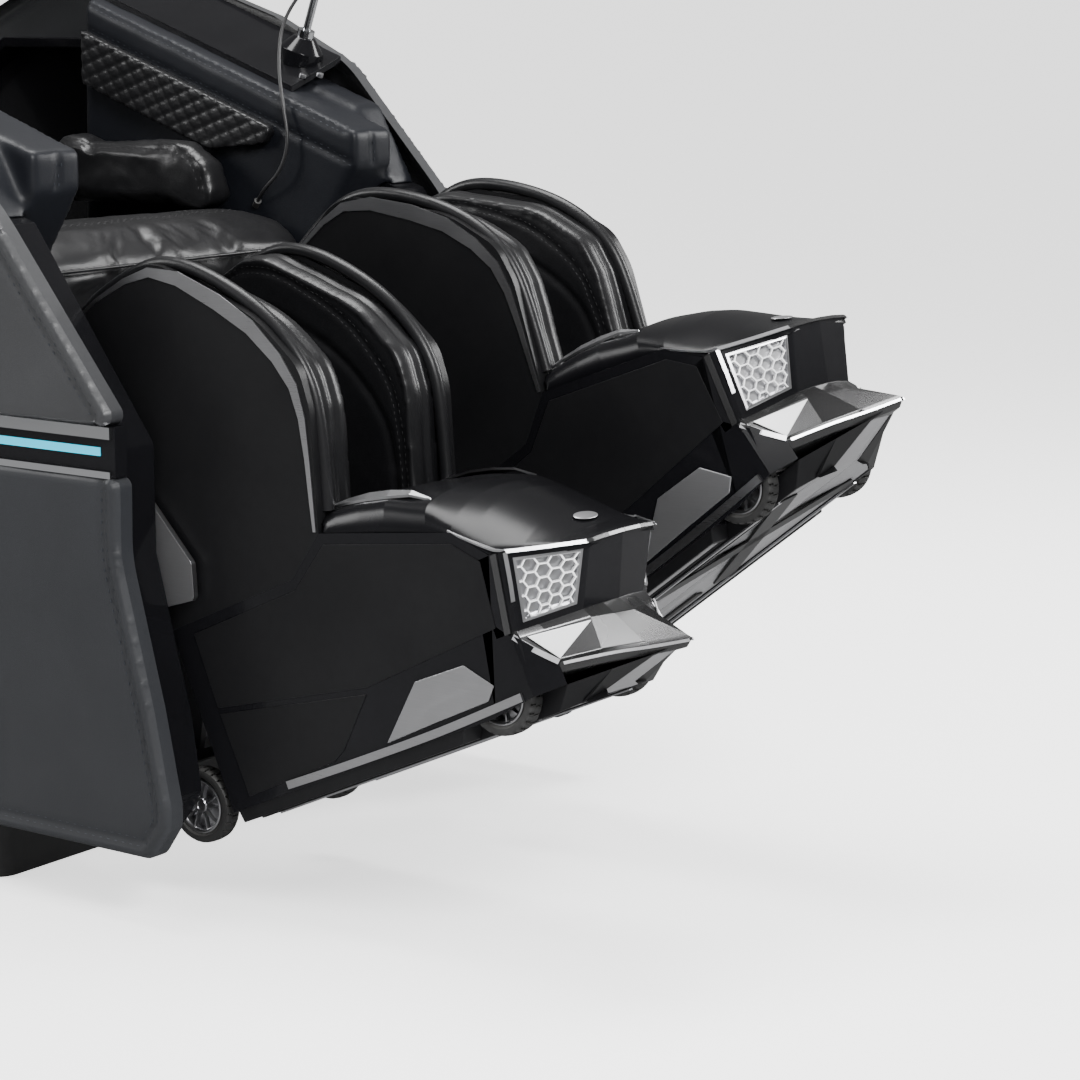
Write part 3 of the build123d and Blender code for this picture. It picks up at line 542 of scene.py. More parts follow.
def stitch(name, piece, lines, body, thread, offsets=(-0.003, 0.003), lift=0.0001):
    # rows of small raised stitches beside some lines on a piece's surface
    tree = surfaceOf(piece)
    bm = bmesh.new()
    for line in lines:
        travelled = 0.0
        for before, after in zip(line, line[1:]):
            run = (after - before).length
            travelled += run
            if travelled < stitchLook["pitch"] or run < 1e-6:
                continue
            travelled = 0.0
            along = (after - before).normalized()
            place, normal, index, gap = tree.find_nearest(after)
            if place is None or gap > 0.02:
                continue
            side = normal.cross(along).normalized()
            for offset in offsets:
                spot, facing, index, gap = tree.find_nearest(place + side * offset)
                across = facing.cross(along).normalized()
                ahead = across.cross(facing).normalized()
                turn = Matrix((ahead, across, facing)).transposed().to_4x4()
                long, thick = stitchLook["length"] / 2, stitchLook["thick"]
                size = Matrix.Diagonal((long, thick, thick * 0.8, 1))
                bmesh.ops.create_icosphere(bm, subdivisions=1, radius=1.0,
                                           matrix=Matrix.Translation(spot + facing * lift) @ turn @ size)
    return makePiece(name, bm, body, thread, recalc=False, weighted=False)


# camera and cord first

cameraLook = {"lens": 99.19, "sensor": 36.0, "place": (-2.885, -3.025, 1.092),
              "toward": (0.8008, 0.5696, -0.1854)}


def makeCamera():
    camera = bpy.data.objects.new("camera", bpy.data.cameras.new("camera"))
    scene.collection.objects.link(camera)
    camera.data.lens = cameraLook["lens"]
    camera.data.sensor_width = cameraLook["sensor"]
    camera.location = cameraLook["place"]
    camera.rotation_euler = Vector(cameraLook["toward"]).to_track_quat("-Z", "Y").to_euler()
    scene.camera = camera


makeCamera()
print("camera placed")

cordLook = {"diameter": 0.005, "length": 0.525}
cordRoute = [(348.0, -24.5, 1220.8), (348.0, 3.0, 1210.0), (344.0, 8.0, 1172.0), (330.0, -22.0, 1130.0),
             (306.0, -66.0, 1085.0), (283.0, -92.0, 1036.0), (268.0, -88.0, 980.0), (254.0, -70.0, 930.0),
             (249.0, -54.0, 876.0), (244.0, -66.0, 832.0), (245.0, -100.0, 806.0), (256.0, -118.0, 790.0)]


def makeCord():
    line = bpy.data.curves.new("cordLine", "CURVE")
    line.dimensions = "3D"
    spline = line.splines.new("NURBS")
    spline.points.add(len(cordRoute) - 1)
    for target, point in zip(spline.points, cordRoute):
        target.co = (*chair(*point), 1.0)
    spline.order_u = 3
    spline.use_endpoint_u = True
    line.resolution_u = 12
    line.use_fill_caps = True
    holder = bpy.data.objects.new("cordLine", line)
    scene.collection.objects.link(holder)
    meshes = []
    for radius in (0.0, cordLook["diameter"] / 2):
        line.bevel_depth = radius
        line.bevel_resolution = 4
        meshes.append(workedMesh(holder))
    bpy.data.objects.remove(holder)
    bm = bmesh.new()
    bm.from_mesh(meshes[1])
    bmesh.ops.remove_doubles(bm, verts=bm.verts, dist=0.00001)
    cord = makePiece("remoteCord", bm, None, cordGrey, ["remote_cord"], angle=1.0,
                     weighted=False)
    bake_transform(cord)


makeCord()
print("cord laid")


# floor and light

stageLook = {"floor": 400.0, "world": 0.9, "mirrored": 0.22, "mirroredFloor": 0.16, "glow": 1.3,
             "backdrop": 3.0, "aim": (0.0, -0.6, 0.6)}
# each lamp's place, width and height in metres, and watts
lamps = {"key": ((-1.6, -3.6, 3.0), (1.2, 1.2), 200.0), "top": ((0.2, -0.2, 3.4), (2.4, 1.0), 150.0),
         "side": ((3.0, -2.4, 2.0), (1.0, 1.6), 110.0), "rear": ((-2.2, 2.6, 2.4), (1.4, 1.4), 110.0)}


def makeFloor():
    bm = bmesh.new()
    bmesh.ops.create_grid(bm, x_segments=2, y_segments=2, size=stageLook["floor"])
    mesh = bpy.data.meshes.new("floor")
    bm.to_mesh(mesh)
    bm.free()
    floor = bpy.data.objects.new("floor", mesh)
    scene.collection.objects.link(floor)
    floorPaint = bpy.data.materials.new("floorPaint")
    floorPaint.use_nodes = True
    tree = floorPaint.node_tree
    shader = tree.nodes["Principled BSDF"]
    shader.inputs["Base Color"].default_value = (0.9, 0.9, 0.9, 1.0)
    shader.inputs["Roughness"].default_value = 0.8
    shader.inputs["Emission Color"].default_value = (1.0, 1.0, 1.0, 1.0)
    shader.inputs["Emission Strength"].default_value = stageLook["glow"]
    dim = tree.nodes.new("ShaderNodeBsdfDiffuse")
    dim.inputs["Color"].default_value = (stageLook["mirroredFloor"],) * 3 + (1.0,)
    mixer = tree.nodes.new("ShaderNodeMixShader")
    floorRays = tree.nodes.new("ShaderNodeLightPath")
    tree.links.new(floorRays.outputs["Is Glossy Ray"], mixer.inputs[0])
    tree.links.new(shader.outputs["BSDF"], mixer.inputs[1])
    tree.links.new(dim.outputs["BSDF"], mixer.inputs[2])
    tree.links.new(mixer.outputs["Shader"], tree.nodes["Material Output"].inputs["Surface"])
    mesh.materials.append(floorPaint)


def makeWorld():
    # bright where it is seen and dim where it is mirrored, so gloss black stays black
    world = bpy.data.worlds.new("studio")
    world.use_nodes = True
    tree = world.node_tree
    tree.nodes["Background"].inputs["Color"].default_value = (1.0, 1.0, 1.0, 1.0)
    rays = tree.nodes.new("ShaderNodeLightPath")
    level = tree.nodes.new("ShaderNodeMapRange")
    level.inputs["To Min"].default_value = stageLook["world"]
    level.inputs["To Max"].default_value = stageLook["mirrored"]
    tree.links.new(rays.outputs["Is Glossy Ray"], level.inputs["Value"])
    shown = tree.nodes.new("ShaderNodeMapRange")
    shown.inputs["To Max"].default_value = stageLook["backdrop"]
    tree.links.new(level.outputs["Result"], shown.inputs["To Min"])
    tree.links.new(rays.outputs["Is Camera Ray"], shown.inputs["Value"])
    tree.links.new(shown.outputs["Result"], tree.nodes["Background"].inputs["Strength"])
    scene.world = world


def makeLamps():
    aim = Vector(stageLook["aim"])
    for name, (place, size, power) in lamps.items():
        lamp = bpy.data.lights.new(name, "AREA")
        lamp.shape = "RECTANGLE"
        lamp.size, lamp.size_y = size
        lamp.energy = power
        holder = bpy.data.objects.new(name, lamp)
        holder.location = place
        holder.rotation_euler = (aim - Vector(place)).to_track_quat("-Z", "Y").to_euler()
        scene.collection.objects.link(holder)


makeFloor()
makeWorld()
makeLamps()
print("stage set")


# hard pieces kept from the model, with rounded edges and their own finishes

# each piece's body, finish and edge radius
hardPieces = {"base_plinth": ("base", matBlack, 0.002), "base_frame": ("base", frameBlack, 0.0015),
              "leg_motors": ("base", satinBlack, 0.002), "control_box": ("base", keyGrey, 0.003),
              "air_pump": ("base", keyGrey, 0.003), "rear_cover": ("base", matBlack, 0.003),
              "side_liners": ("base", glossBlack, 0.002), "light_belts": ("base", glossBlack, 0.001),
              "stand_socket": ("base", glossBlack, 0.0012),
              "power_button": ("power_button", brushedSilver, 0.0008),
              "pause_button": ("pause_button", brushedSilver, 0.0008),
              "back_shell": ("backrest", matBlack, 0.003), "remote_cradle": ("stand", satinBlack, 0.0008),
              "massage_carriage": ("carriage", matBlack, 0.0015)}
sunkBacks = {"rear_cover": 0.003, "back_shell": 0.003}


def makeHardPieces():
    for node, (body, material, width) in hardPieces.items():
        moulded(node + "Shell", node, body, material, width, sunkBacks.get(node, 0.0))
    plain = {"knee_shaft": groundSteel, "light_strips": cyanLight, "panel_trims": brightChrome,
             "cord_gland": tyreRubber, "stand_pole": brightChrome, "massage_rails": groundSteel,
             "massage_rollers": rollerRubber}
    for side in legs:
        plain[side + "_foot_roller"] = rollerRubber
    for node, material in plain.items():
        mesh = nodes[node].data
        mesh.materials.clear()
        mesh.materials.append(material)


makeHardPieces()
print("hard pieces finished")


# rear vents, arm decks and bracket plates

ventLook = {"count": 11, "pitch": 0.015, "width": 0.30, "height": 0.006, "depth": 0.005, "top": 0.12,
            "sunk": 0.0035, "tilt": 0.35}


def makeVents():
    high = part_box("rear_cover")[1]
    bm = bmesh.new()
    for number in range(ventLook["count"]):
        slat = bmesh.ops.create_cube(bm, size=1.0)["verts"]
        bmesh.ops.scale(bm, verts=slat, vec=(ventLook["width"], ventLook["depth"], ventLook["height"]))
        bmesh.ops.rotate(bm, verts=slat, cent=(0, 0, 0), matrix=Matrix.Rotation(ventLook["tilt"], 3, "X"))
        drop = ventLook["top"] + number * ventLook["pitch"]
        bmesh.ops.translate(bm, verts=slat, vec=(0, high[1] - ventLook["sunk"], high[2] - drop))
    softenEdges(bm, bm.edges[:], 0.0012)
    makePiece("rearVents", bm, "base", satinBlack, angle=0.8)


deckLook = {"front": -88.0, "edge": 0.0025}


def makeDecks():
    # the deck stops just ahead of the stand, so the arm's leather nose runs on in front of it
    bm = copyNode("arm_decks")
    bmesh.ops.bisect_plane(bm, geom=bm.verts[:] + bm.edges[:] + bm.faces[:], clear_outer=True,
                           plane_co=chair(0, deckLook["front"], 900), plane_no=(0, -1, 0))
    bmesh.ops.holes_fill(bm, edges=[edge for edge in bm.edges if len(edge.link_faces) == 1])
    roundEdges(bm, deckLook["edge"])
    makePiece("deckPlates", bm, "base", glossBlack, ["arm_decks"])


def makeGuards():
    bm = copyNode("side_guards")
    roundEdges(bm, 0.0008)
    for face in bm.faces:
        face.material_index = 0 if abs(face.normal.x) > 0.9 else 1
    makePiece("bracketPlates", bm, "base", [dullSilver, brushedSilver], ["side_guards"],
              recalc=False)


makeVents()
makeDecks()
makeGuards()
print("vents, decks and brackets finished")


# leg modules

# sections and outlines are in millimetres, ahead and up from the knee
legLook = {"half": 131.0, "rollRadius": 0.0085}
calfArch = [(98, -40), (101, -6), (118, 11), (150, 18), (205, 24), (248, 22), (292, 0), (340, -46), (376, -92),
            (398, -140), (407, -182), (402, -222), (388, -268), (368, -326)]
fasciaSections = [(0, (668, -461), (632, -531)), (60, (664, -464), (624, -531)),
                  (127.5, (600, -446), (580, -531)), (131, (586, -443), (570, -531))]
grilleLook = {"border": 0.0075, "lip": 0.0032, "proud": 0.0008, "slope": 0.0022, "deep": 0.0095, "bar": 0.012,
              "cellWide": 0.21, "cellTall": 0.25, "thick": 0.006, "sunk": 0.0075}


def sideTag(sideName, half):
    return sideName + ("Plus" if half > 0 else "Minus")


def mirrored(sections):
    # sections from the middle outwards, with the same ones put in front for the other half
    return [(-section[0], *section[1:]) for section in reversed(sections[1:])] + sections


def makeFascia(sideName, matrix):
    bm = bmesh.new()
    sweepFace(bm, [[local(x, 552, -444), local(x, *top), local(x, *low), local(x, 552, -531)]
                   for x, top, low in mirrored(fasciaSections)])
    bmesh.ops.recalc_face_normals(bm, faces=bm.faces)
    facets = [face for face in bm.faces if abs(abs(face.calc_center_median().x) - 0.094) < 0.01
              and face.calc_center_median().y < -0.59]
    for facet in facets:
        bmesh.ops.inset_region(bm, faces=[facet], thickness=grilleLook["border"], use_even_offset=True)
        lip = bmesh.ops.inset_region(bm, faces=[facet], thickness=grilleLook["lip"], depth=grilleLook["proud"],
                                     use_even_offset=True)["faces"]
        half = 1 if facet.calc_center_median().x > 0 else -1
        out = facet.normal.copy()
        corners = sorted((vert.co.copy() for vert in facet.verts), key=lambda co: (round(co.z, 2), abs(co.x)))
        lowIn, lowOut, highIn, highOut = corners
        if abs(lowIn.x) > abs(lowOut.x):
            lowIn, lowOut = lowOut, lowIn
        if abs(highIn.x) > abs(highOut.x):
            highIn, highOut = highOut, highIn
        well = bmesh.ops.inset_region(bm, faces=[facet], thickness=grilleLook["slope"],
                                      depth=-grilleLook["deep"], use_even_offset=True)["faces"]
        for face in (*lip, *well, facet):
            face.material_index = 1
        makeGrille(sideName, half, matrix, (lowOut, lowIn, highIn, highOut), out)
    makePiece(sideName + "Fascia", bm, sideName + "_leg", [glossBlack, brushedSilver],
              [sideName + "_boot_face"], matrix=matrix, angle=0.35)


def makeGrille(sideName, half, matrix, corners, out):
    # a honeycomb drawn in a unit square, then laid into the recess between its four corners
    lowOut, lowIn, highIn, highOut = corners
    bm = bmesh.new()
    wide, tall = grilleLook["cellWide"], grilleLook["cellTall"]
    stretch = Matrix.Diagonal((wide / 1.5, tall / math.sqrt(3), 1, 1)) @ Matrix.Rotation(math.pi / 6, 4, "Z")
    for column in range(-1, 7):
        for row in range(-1, 6):
            middle = Vector((column * wide, (row + 0.5 * (column % 2)) * tall, 0))
            bmesh.ops.create_circle(bm, cap_ends=True, segments=6, radius=1.0,
                                    matrix=Matrix.Translation(middle) @ stretch)
    bmesh.ops.remove_doubles(bm, verts=bm.verts, dist=0.004)
    bmesh.ops.inset_individual(bm, faces=bm.faces[:], thickness=grilleLook["bar"], use_even_offset=True)
    cells = [face for face in bm.faces if len(face.verts) == 6]
    bmesh.ops.delete(bm, geom=cells, context="FACES")
    for at, normal in (((0, 0, 0), (-1, 0, 0)), ((1, 0, 0), (1, 0, 0)),
                       ((0, 0, 0), (0, -1, 0)), ((0, 1, 0), (0, 1, 0))):
        bmesh.ops.bisect_plane(bm, geom=bm.verts[:] + bm.edges[:] + bm.faces[:], plane_co=at, plane_no=normal,
                               clear_outer=True)
    grown = bmesh.ops.extrude_face_region(bm, geom=bm.faces[:])["geom"]
    tops = [item for item in grown if isinstance(item, bmesh.types.BMVert)]
    bmesh.ops.translate(bm, verts=tops, vec=(0, 0, grilleLook["thick"]))
    for vert in bm.verts:
        u, v, depth = vert.co
        low, high = lowOut.lerp(lowIn, u), highOut.lerp(highIn, u)
        vert.co = low.lerp(high, v) + out * (depth - grilleLook["sunk"])
    tag = sideTag(sideName, half)
    makePiece(tag + "Grille", bm, sideName + "_leg", whiteSilver, matrix=matrix, angle=0.3)


def plate(name, corners, thick, sideName, material, matrix, bevel):
    # a flat plate on a shell, from its outline to its thickness
    bm = bmesh.new()
    face = bm.faces.new([bm.verts.new(local(*corner)) for corner in corners])
    face.normal_update()
    out = face.normal.copy()
    if out.dot(Vector((corners[0][0] / 1000, -0.6, 0.0))) < 0:
        out = -out
    grown = bmesh.ops.extrude_face_region(bm, geom=[face])["geom"]
    tops = [item for item in grown if isinstance(item, bmesh.types.BMVert)]
    bmesh.ops.translate(bm, verts=tops, vec=out * thick)
    bmesh.ops.recalc_face_normals(bm, faces=bm.faces)
    softenEdges(bm, bm.edges[:], bevel)
    return makePiece(name, bm, sideName + "_leg", material, matrix=matrix, angle=0.5)


def strip(name, points, across, width, out, thick, sideName, material, matrix, step=0.01):
    bm = bmesh.new()
    path = smoothPath(points, step) if step else points
    ribbon(bm, path, across.normalized(), width, out.normalized(), thick)
    return makePiece(name, bm, sideName + "_leg", material, matrix=matrix, angle=0.5)


# ahead, up and width at each point
calfTrim = [(112, 8, 2), (150, 18, 3), (205, 24, 5), (248, 22, 8), (292, 0, 12), (340, -46, 14), (376, -92, 13),
            (398, -140, 11), (407, -182, 9), (402, -222, 7), (388, -268, 5), (372, -316, 4), (362, -346, 3)]


bladeLook = {"gap": 4, "proud": 1.6, "widen": 1.4}


def sideBlade(name, points, half, sideName, matrix):
    # a tapering strip set just inside a shell's edge
    low = half * legLook["half"]
    high = half * (legLook["half"] + bladeLook["proud"])
    bm = bmesh.new()
    stations = []
    for number, (f, h, width) in enumerate(points):
        before, after = points[max(number - 1, 0)], points[min(number + 1, len(points) - 1)]
        along = Vector((after[0] - before[0], after[1] - before[1])).normalized()
        inward = Vector((along.y, -along.x))
        outer = Vector((f, h)) + inward * bladeLook["gap"]
        inner = outer + inward * width * bladeLook["widen"]
        stations.append([local(low, *outer), local(high, *outer), local(high, *inner), local(low, *inner)])
    sweepFace(bm, stations)
    makePiece(name, bm, sideName + "_leg", brushedSilver, matrix=matrix, angle=0.6)


# bright and grey strips on each side of a foot: points are across, ahead and up from the knee
trimStrips = {
    "EdgeStrip": {"path": [(131, 586, -444), (131, 577, -490), (131, 569, -531)], "across": (0, -1, 0),
                  "out": (1, 0, 0), "width": 0.0085, "thick": 0.0012, "material": greyPaint},
    "CornerStrip": {"path": [(128.5, 600, -447), (128, 593, -480), (128, 588, -500)],
                    "across": (-0.7, -0.7, 0), "out": (0.72, -0.66, 0.2), "width": 0.0048, "thick": 0.0016,
                    "material": brushedSilver},
    "VeeStrip": {"path": [(131, 574, -535), (122, 589, -556), (107, 604, -577)],
                 "across": (-0.5, -0.5, 0.7), "out": (0.75, -0.6, -0.1), "width": 0.0062, "thick": 0.0014,
                 "material": dullSilver},
    "RailStrip": {"path": [(128, 536, -402), (129, 560, -421), (129, 588, -441), (128, 600, -444.5)],
                  "across": (-1, -0.2, 0), "out": (0.2, -0.3, 0.9), "width": 0.0050, "thick": 0.0022,
                  "material": brushedSilver},
    "Brow": {"path": [(128, 601, -446), (97, 633, -455.5), (66, 664, -464)], "across": (0, 0.3, 0.95),
             "out": (0.72, -0.66, 0.2), "width": 0.0048, "thick": 0.0016, "material": brushedSilver},
    "BrowEnd": {"path": [(67, 664, -464), (58, 667, -464), (30, 669, -463), (0, 669, -462.5)],
                "across": (0, 0.3, 0.95), "out": (0.72, -0.66, 0.2), "width": 0.0042, "thick": 0.0012,
                "material": greyPaint, "step": None},
    "LipStrip": {"path": [(101, 605, -580), (60, 643, -587), (30, 674, -595), (3, 704, -601.5)],
                 "across": (0, 0, 1), "out": (0.7, -0.7, 0), "width": 0.0034, "thick": 0.0014,
                 "material": brushedSilver},
    "Sill": {"path": [(131, 192, -603), (131, 300, -605), (131, 430, -605), (131, 560, -600)],
             "across": (0, 0, 1), "out": (1, 0, 0), "width": 0.0095, "thick": 0.0032,
             "material": brushedSilver}}
sidePlates = {
    "Skirt": {"corners": [(127.6, 515, -611), (127.6, 540, -500), (127.6, 569, -531), (127.6, 583, -545),
                          (127.6, 573, -604)], "thick": 0.0034, "bevel": 0.0006, "material": glossBlack},
    "Chamfer": {"corners": [(130.5, 571, -531), (129, 584, -543), (104, 601, -576), (98, 598, -603),
                            (130.5, 573, -604)], "thick": 0.002, "bevel": 0.0006, "material": glossBlack},
    "SidePlate": {"corners": [(131, 356, -597), (131, 424, -543), (131, 497, -545), (131, 528, -578),
                              (131, 514, -592), (131, 430, -594)], "thick": 0.0026, "bevel": 0.0016,
                  "material": dullSilver},
    "UpperPlate": {"corners": [(130.8, 128, -398), (130.8, 300, -397), (130.8, 362, -361), (130.8, 536, -416),
                               (130.8, 566, -446), (130.8, 556, -520), (130.8, 354, -530), (130.8, 126, -490)],
                   "thick": 0.0014, "bevel": 0.0006, "material": satinBlack},
    "LowerPlate": {"corners": [(130.8, 126, -497), (130.8, 350, -537), (130.8, 290, -588), (130.8, 272, -596),
                               (130.8, 128, -600)], "thick": 0.0014, "bevel": 0.0006, "material": satinBlack}}
soleStrips = {
    "SoleCross": {"path": [(78, 545, -627.5), (0, 430, -627.5), (-78, 310, -627.5)],
                  "across": (1, 0.6, 0), "width": 0.030, "material": satinBlack},
    "SoleRail": {"path": [(90, 130, -629), (90, 340, -629), (90, 540, -629)], "across": (1, 0, 0),
                 "width": 0.006, "material": brushedSilver},
    "SoleSlot": {"path": [(60, 150, -627.5), (60, 210, -627.5), (60, 280, -627.5)], "across": (1, 0, 0),
                 "width": 0.014, "material": matBlack}}


arrowLook = {"corners": [(124, 587, -540), (62, 631, -545), (101, 602, -574)], "thick": 0.0022,
             "bevel": 0.001, "material": whiteSilver}
# ahead, up and half width along the small fin on the hood
finLook = {"path": [(366, -323, 0.001), (392, -325, 0.004), (421, -329, 0.006), (452, -336, 0.006),
                    (482, -345, 0.004), (506, -360, 0.0008)], "side": 101, "rise": 0.003}
badgeLook = {"size": (0.020, 0.010, 0.0016), "place": (0, 626, -431.5), "lean": 37.0}


def makePlate(tag, label, look, half, sideName, matrix):
    corners = [(half * x, f, h) for x, f, h in look["corners"]]
    plate(tag + label, corners, look["thick"], sideName, look["material"], matrix, look["bevel"])


def makeFin(tag, half, sideName, matrix):
    bm = bmesh.new()
    rise = Vector((0, 0, finLook["rise"]))
    stations = []
    for f, h, width in finLook["path"]:
        top = local(half * finLook["side"], f, h)
        spread = Vector((half * width, 0, -width * 0.5))
        stations.append([top - spread, top + spread, top + spread + rise, top - spread + rise])
    sweepFace(bm, stations)
    makePiece(tag + "Fin", bm, sideName + "_leg", brushedSilver, matrix=matrix, angle=0.7)


def makeBadge(sideName, matrix):
    bm = bmesh.new()
    bmesh.ops.create_uvsphere(bm, u_segments=32, v_segments=16, radius=1.0)
    bmesh.ops.scale(bm, verts=bm.verts, vec=badgeLook["size"])
    lean = Matrix.Translation(local(*badgeLook["place"]))
    lean = lean @ Matrix.Rotation(math.radians(badgeLook["lean"]), 4, "X")
    makePiece(sideName + "Badge", bm, sideName + "_leg", dullSilver, [sideName + "_leg_trims"],
              matrix=matrix @ lean)


def makeBootTrim(sideName, matrix):
    for half in (-1, 1):
        tag = sideTag(sideName, half)
        turned = Matrix.Diagonal((half, 1, 1))
        makePlate(tag, "Arrow", arrowLook, half, sideName, matrix)
        for label, look in trimStrips.items():
            path = [local(half * x, f, h) for x, f, h in look["path"]]
            across, out = turned @ Vector(look["across"]), turned @ Vector(look["out"])
            strip(tag + label, path, across, look["width"], out, look["thick"], sideName, look["material"],
                  matrix, step=look.get("step", 0.01))
        sideBlade(tag + "CalfTrim", calfTrim, half, sideName, matrix)
        for label, look in sidePlates.items():
            makePlate(tag, label, look, half, sideName, matrix)
        makeFin(tag, half, sideName, matrix)
    makeBadge(sideName, matrix)


# the hood's side, shoulder and crown lines
hoodSide = [(364, -348), (385, -352), (420, -361), (455, -371), (509, -391), (540, -406), (562, -424),
            (582, -442), (610, -449), (640, -457), (664, -462)]
hoodEdge = [(364, -327), (385, -328), (420, -333), (455, -341), (509, -364), (540, -390), (562, -410),
            (582, -428), (610, -440), (640, -452), (664, -460)]
hoodCrown = [(364, -319), (385, -321), (420, -326), (455, -333), (509, -347), (540, -361), (562, -374),
             (582, -391), (610, -418), (640, -445), (664, -459)]
hoodLook = {"taperFrom": 582, "taper": 67 / 86, "wall": 9, "crease": 0.85}


def makeHood(sideName, matrix):
    bm = bmesh.new()
    stations = []
    for side, edge, crown in zip(hoodSide, hoodEdge, hoodCrown):
        f = crown[0]
        half = legLook["half"] - max(0, f - hoodLook["taperFrom"]) * hoodLook["taper"]
        drop = crown[1] - edge[1]
        top = [(half, side[1]), (half * 0.965, (side[1] + edge[1]) / 2), (half * 0.90, edge[1] - 1.0),
               (half * 0.75, edge[1] + drop * 0.32), (half * 0.5, edge[1] + drop * 0.70), (0.0, crown[1])]
        upper = [local(-x, f, h) for x, h in top] + [local(x, f, h) for x, h in reversed(top[:-1])]
        lower = [local(x * 0.97, f - 2, h - hoodLook["wall"]) for x, h in top]
        lower += [local(-x * 0.97, f - 2, h - hoodLook["wall"]) for x, h in reversed(top[:-1])]
        stations.append(upper + lower)
    sweepFace(bm, stations)
    bmesh.ops.recalc_face_normals(bm, faces=bm.faces)
    crease = bm.edges.layers.float.new("crease_edge")
    for edge in cornersOver(bm, 0.9):
        edge[crease] = hoodLook["crease"]
    hood = makePiece(sideName + "Hood", bm, sideName + "_leg", hoodShell,
                     [sideName + "_boot_hood"], matrix=matrix, angle=1.6, weighted=False)
    fine = hood.modifiers.new("fine", "SUBSURF")
    fine.levels = fine.render_levels = 2
    applied(hood)


# the bumper's cross-section at each distance from the middle
bumperSections = [
    (0, [(574, -529), (632, -530), (645, -548), (701, -594), (707, -600), (696, -608), (574, -600)]),
    (30, [(574, -529), (630, -530), (640, -545), (666, -587), (673, -593), (660, -602), (574, -598)]),
    (60, [(574, -529), (624, -530), (630, -541), (630, -579), (642, -585), (632, -595), (574, -596)]),
    (105, [(574, -529), (594, -530), (598, -539), (598, -574), (601, -578), (592, -588), (576, -590)]),
    (129, [(571, -529), (579, -530), (581, -538), (581, -545), (582, -549), (578, -554), (574, -556)])]


def makeBumper(sideName, matrix):
    bm = bmesh.new()
    sweepFace(bm, [[local(x, f, h) for f, h in ring] for x, ring in mirrored(bumperSections)])
    bmesh.ops.recalc_face_normals(bm, faces=bm.faces)
    softenEdges(bm, cornersOver(bm, 0.25), 0.0016)
    makePiece(sideName + "Bumper", bm, sideName + "_leg", greyPaint, matrix=matrix, angle=0.5)


soleSections = [(0, 699, 604), (30, 668, 596), (60, 634, 588), (94, 596, 572)]
soleLook = {"border": 0.006, "step": 0.002, "edge": 0.0012, "stripThick": 0.002}


def makeSole(sideName, matrix):
    bm = bmesh.new()
    sweepFace(bm, [[local(x, 100, -603), local(x, top, -603), local(x, low, -629), local(x, 100, -629)]
                   for x, top, low in mirrored(soleSections)])
    for half in (-1, 1):
        sweepFace(bm, [[local(half * x, 100, -606), local(half * x, 468, -606), local(half * x, 456, -627),
                        local(half * x, 104, -627)] for x in (94.5, 129.5)])
    bmesh.ops.recalc_face_normals(bm, faces=bm.faces)
    under = [face for face in bm.faces if face.normal.z < -0.9]
    bmesh.ops.inset_region(bm, faces=under, thickness=soleLook["border"], use_even_offset=True,
                           use_boundary=True)
    bmesh.ops.inset_region(bm, faces=under, thickness=soleLook["step"], depth=-soleLook["step"],
                           use_even_offset=True, use_boundary=True)
    for face in under:
        face.material_index = 1
    roundEdges(bm, soleLook["edge"])
    makePiece(sideName + "_solePlate", bm, sideName + "_leg", [satinBlack, soleGrey],
              [sideName + "_boot_sole"], matrix=matrix, recalc=False)
    for half in (-1, 1):
        tag = sideTag(sideName, half)
        for label, look in soleStrips.items():
            across = Matrix.Diagonal((half, 1, 1)) @ Vector(look["across"])
            strip(tag + label, [local(half * x, f, h) for x, f, h in look["path"]], across, look["width"],
                  Vector((0, 0, -1)), soleLook["stripThick"], sideName, look["material"], matrix)


legShells = {"lift_arm": (frameBlack, 0.0015), "calf_shell": (satinBlack, 0.003),
             "boot_shell": (glossBlack, 0.0018)}


def makeLegShells(sideName, matrix):
    makeHood(sideName, matrix)
    makeFascia(sideName, matrix)
    makeBumper(sideName, matrix)
    for label, (material, width) in legShells.items():
        node = sideName + "_" + label
        moulded(node + "Shell", node, sideName + "_leg", material, width)
    makeSole(sideName, matrix)
    makeBootTrim(sideName, matrix)


for sideName, matrix in legs.items():
    makeLegShells(sideName, matrix)
print("leg shells finished")


# wheels

wheelLook = {"tyre": 0.046, "bead": 0.0332, "width": 0.0245, "treads": 26, "groove": 0.0022, "rim": 0.0105,
             "inset": 0.0125, "spokes": 5, "axle": 0.00495}
# each spoke's distance out, lean either side of its middle, width and height
spokeStations = [(0.0075, 0.20, 0.0030, 0.0080), (0.0150, 0.22, 0.0026, 0.0086),
                 (0.0230, 0.25, 0.0022, 0.0090), (0.0300, 0.30, 0.0034, 0.0096)]


def spin(bm, outline, steps, closed=False):
    # an outline of places along the axle and radii, turned round the axle
    verts = [bm.verts.new((x, 0, radius)) for x, radius in outline]
    pairs = zip(verts, verts[1:] + verts[:1]) if closed else zip(verts, verts[1:])
    edges = [bm.edges.new(pair) for pair in pairs]
    bmesh.ops.spin(bm, geom=verts + edges, cent=(0, 0, 0), axis=(1, 0, 0), angle=math.tau, steps=steps,
                   use_merge=True)


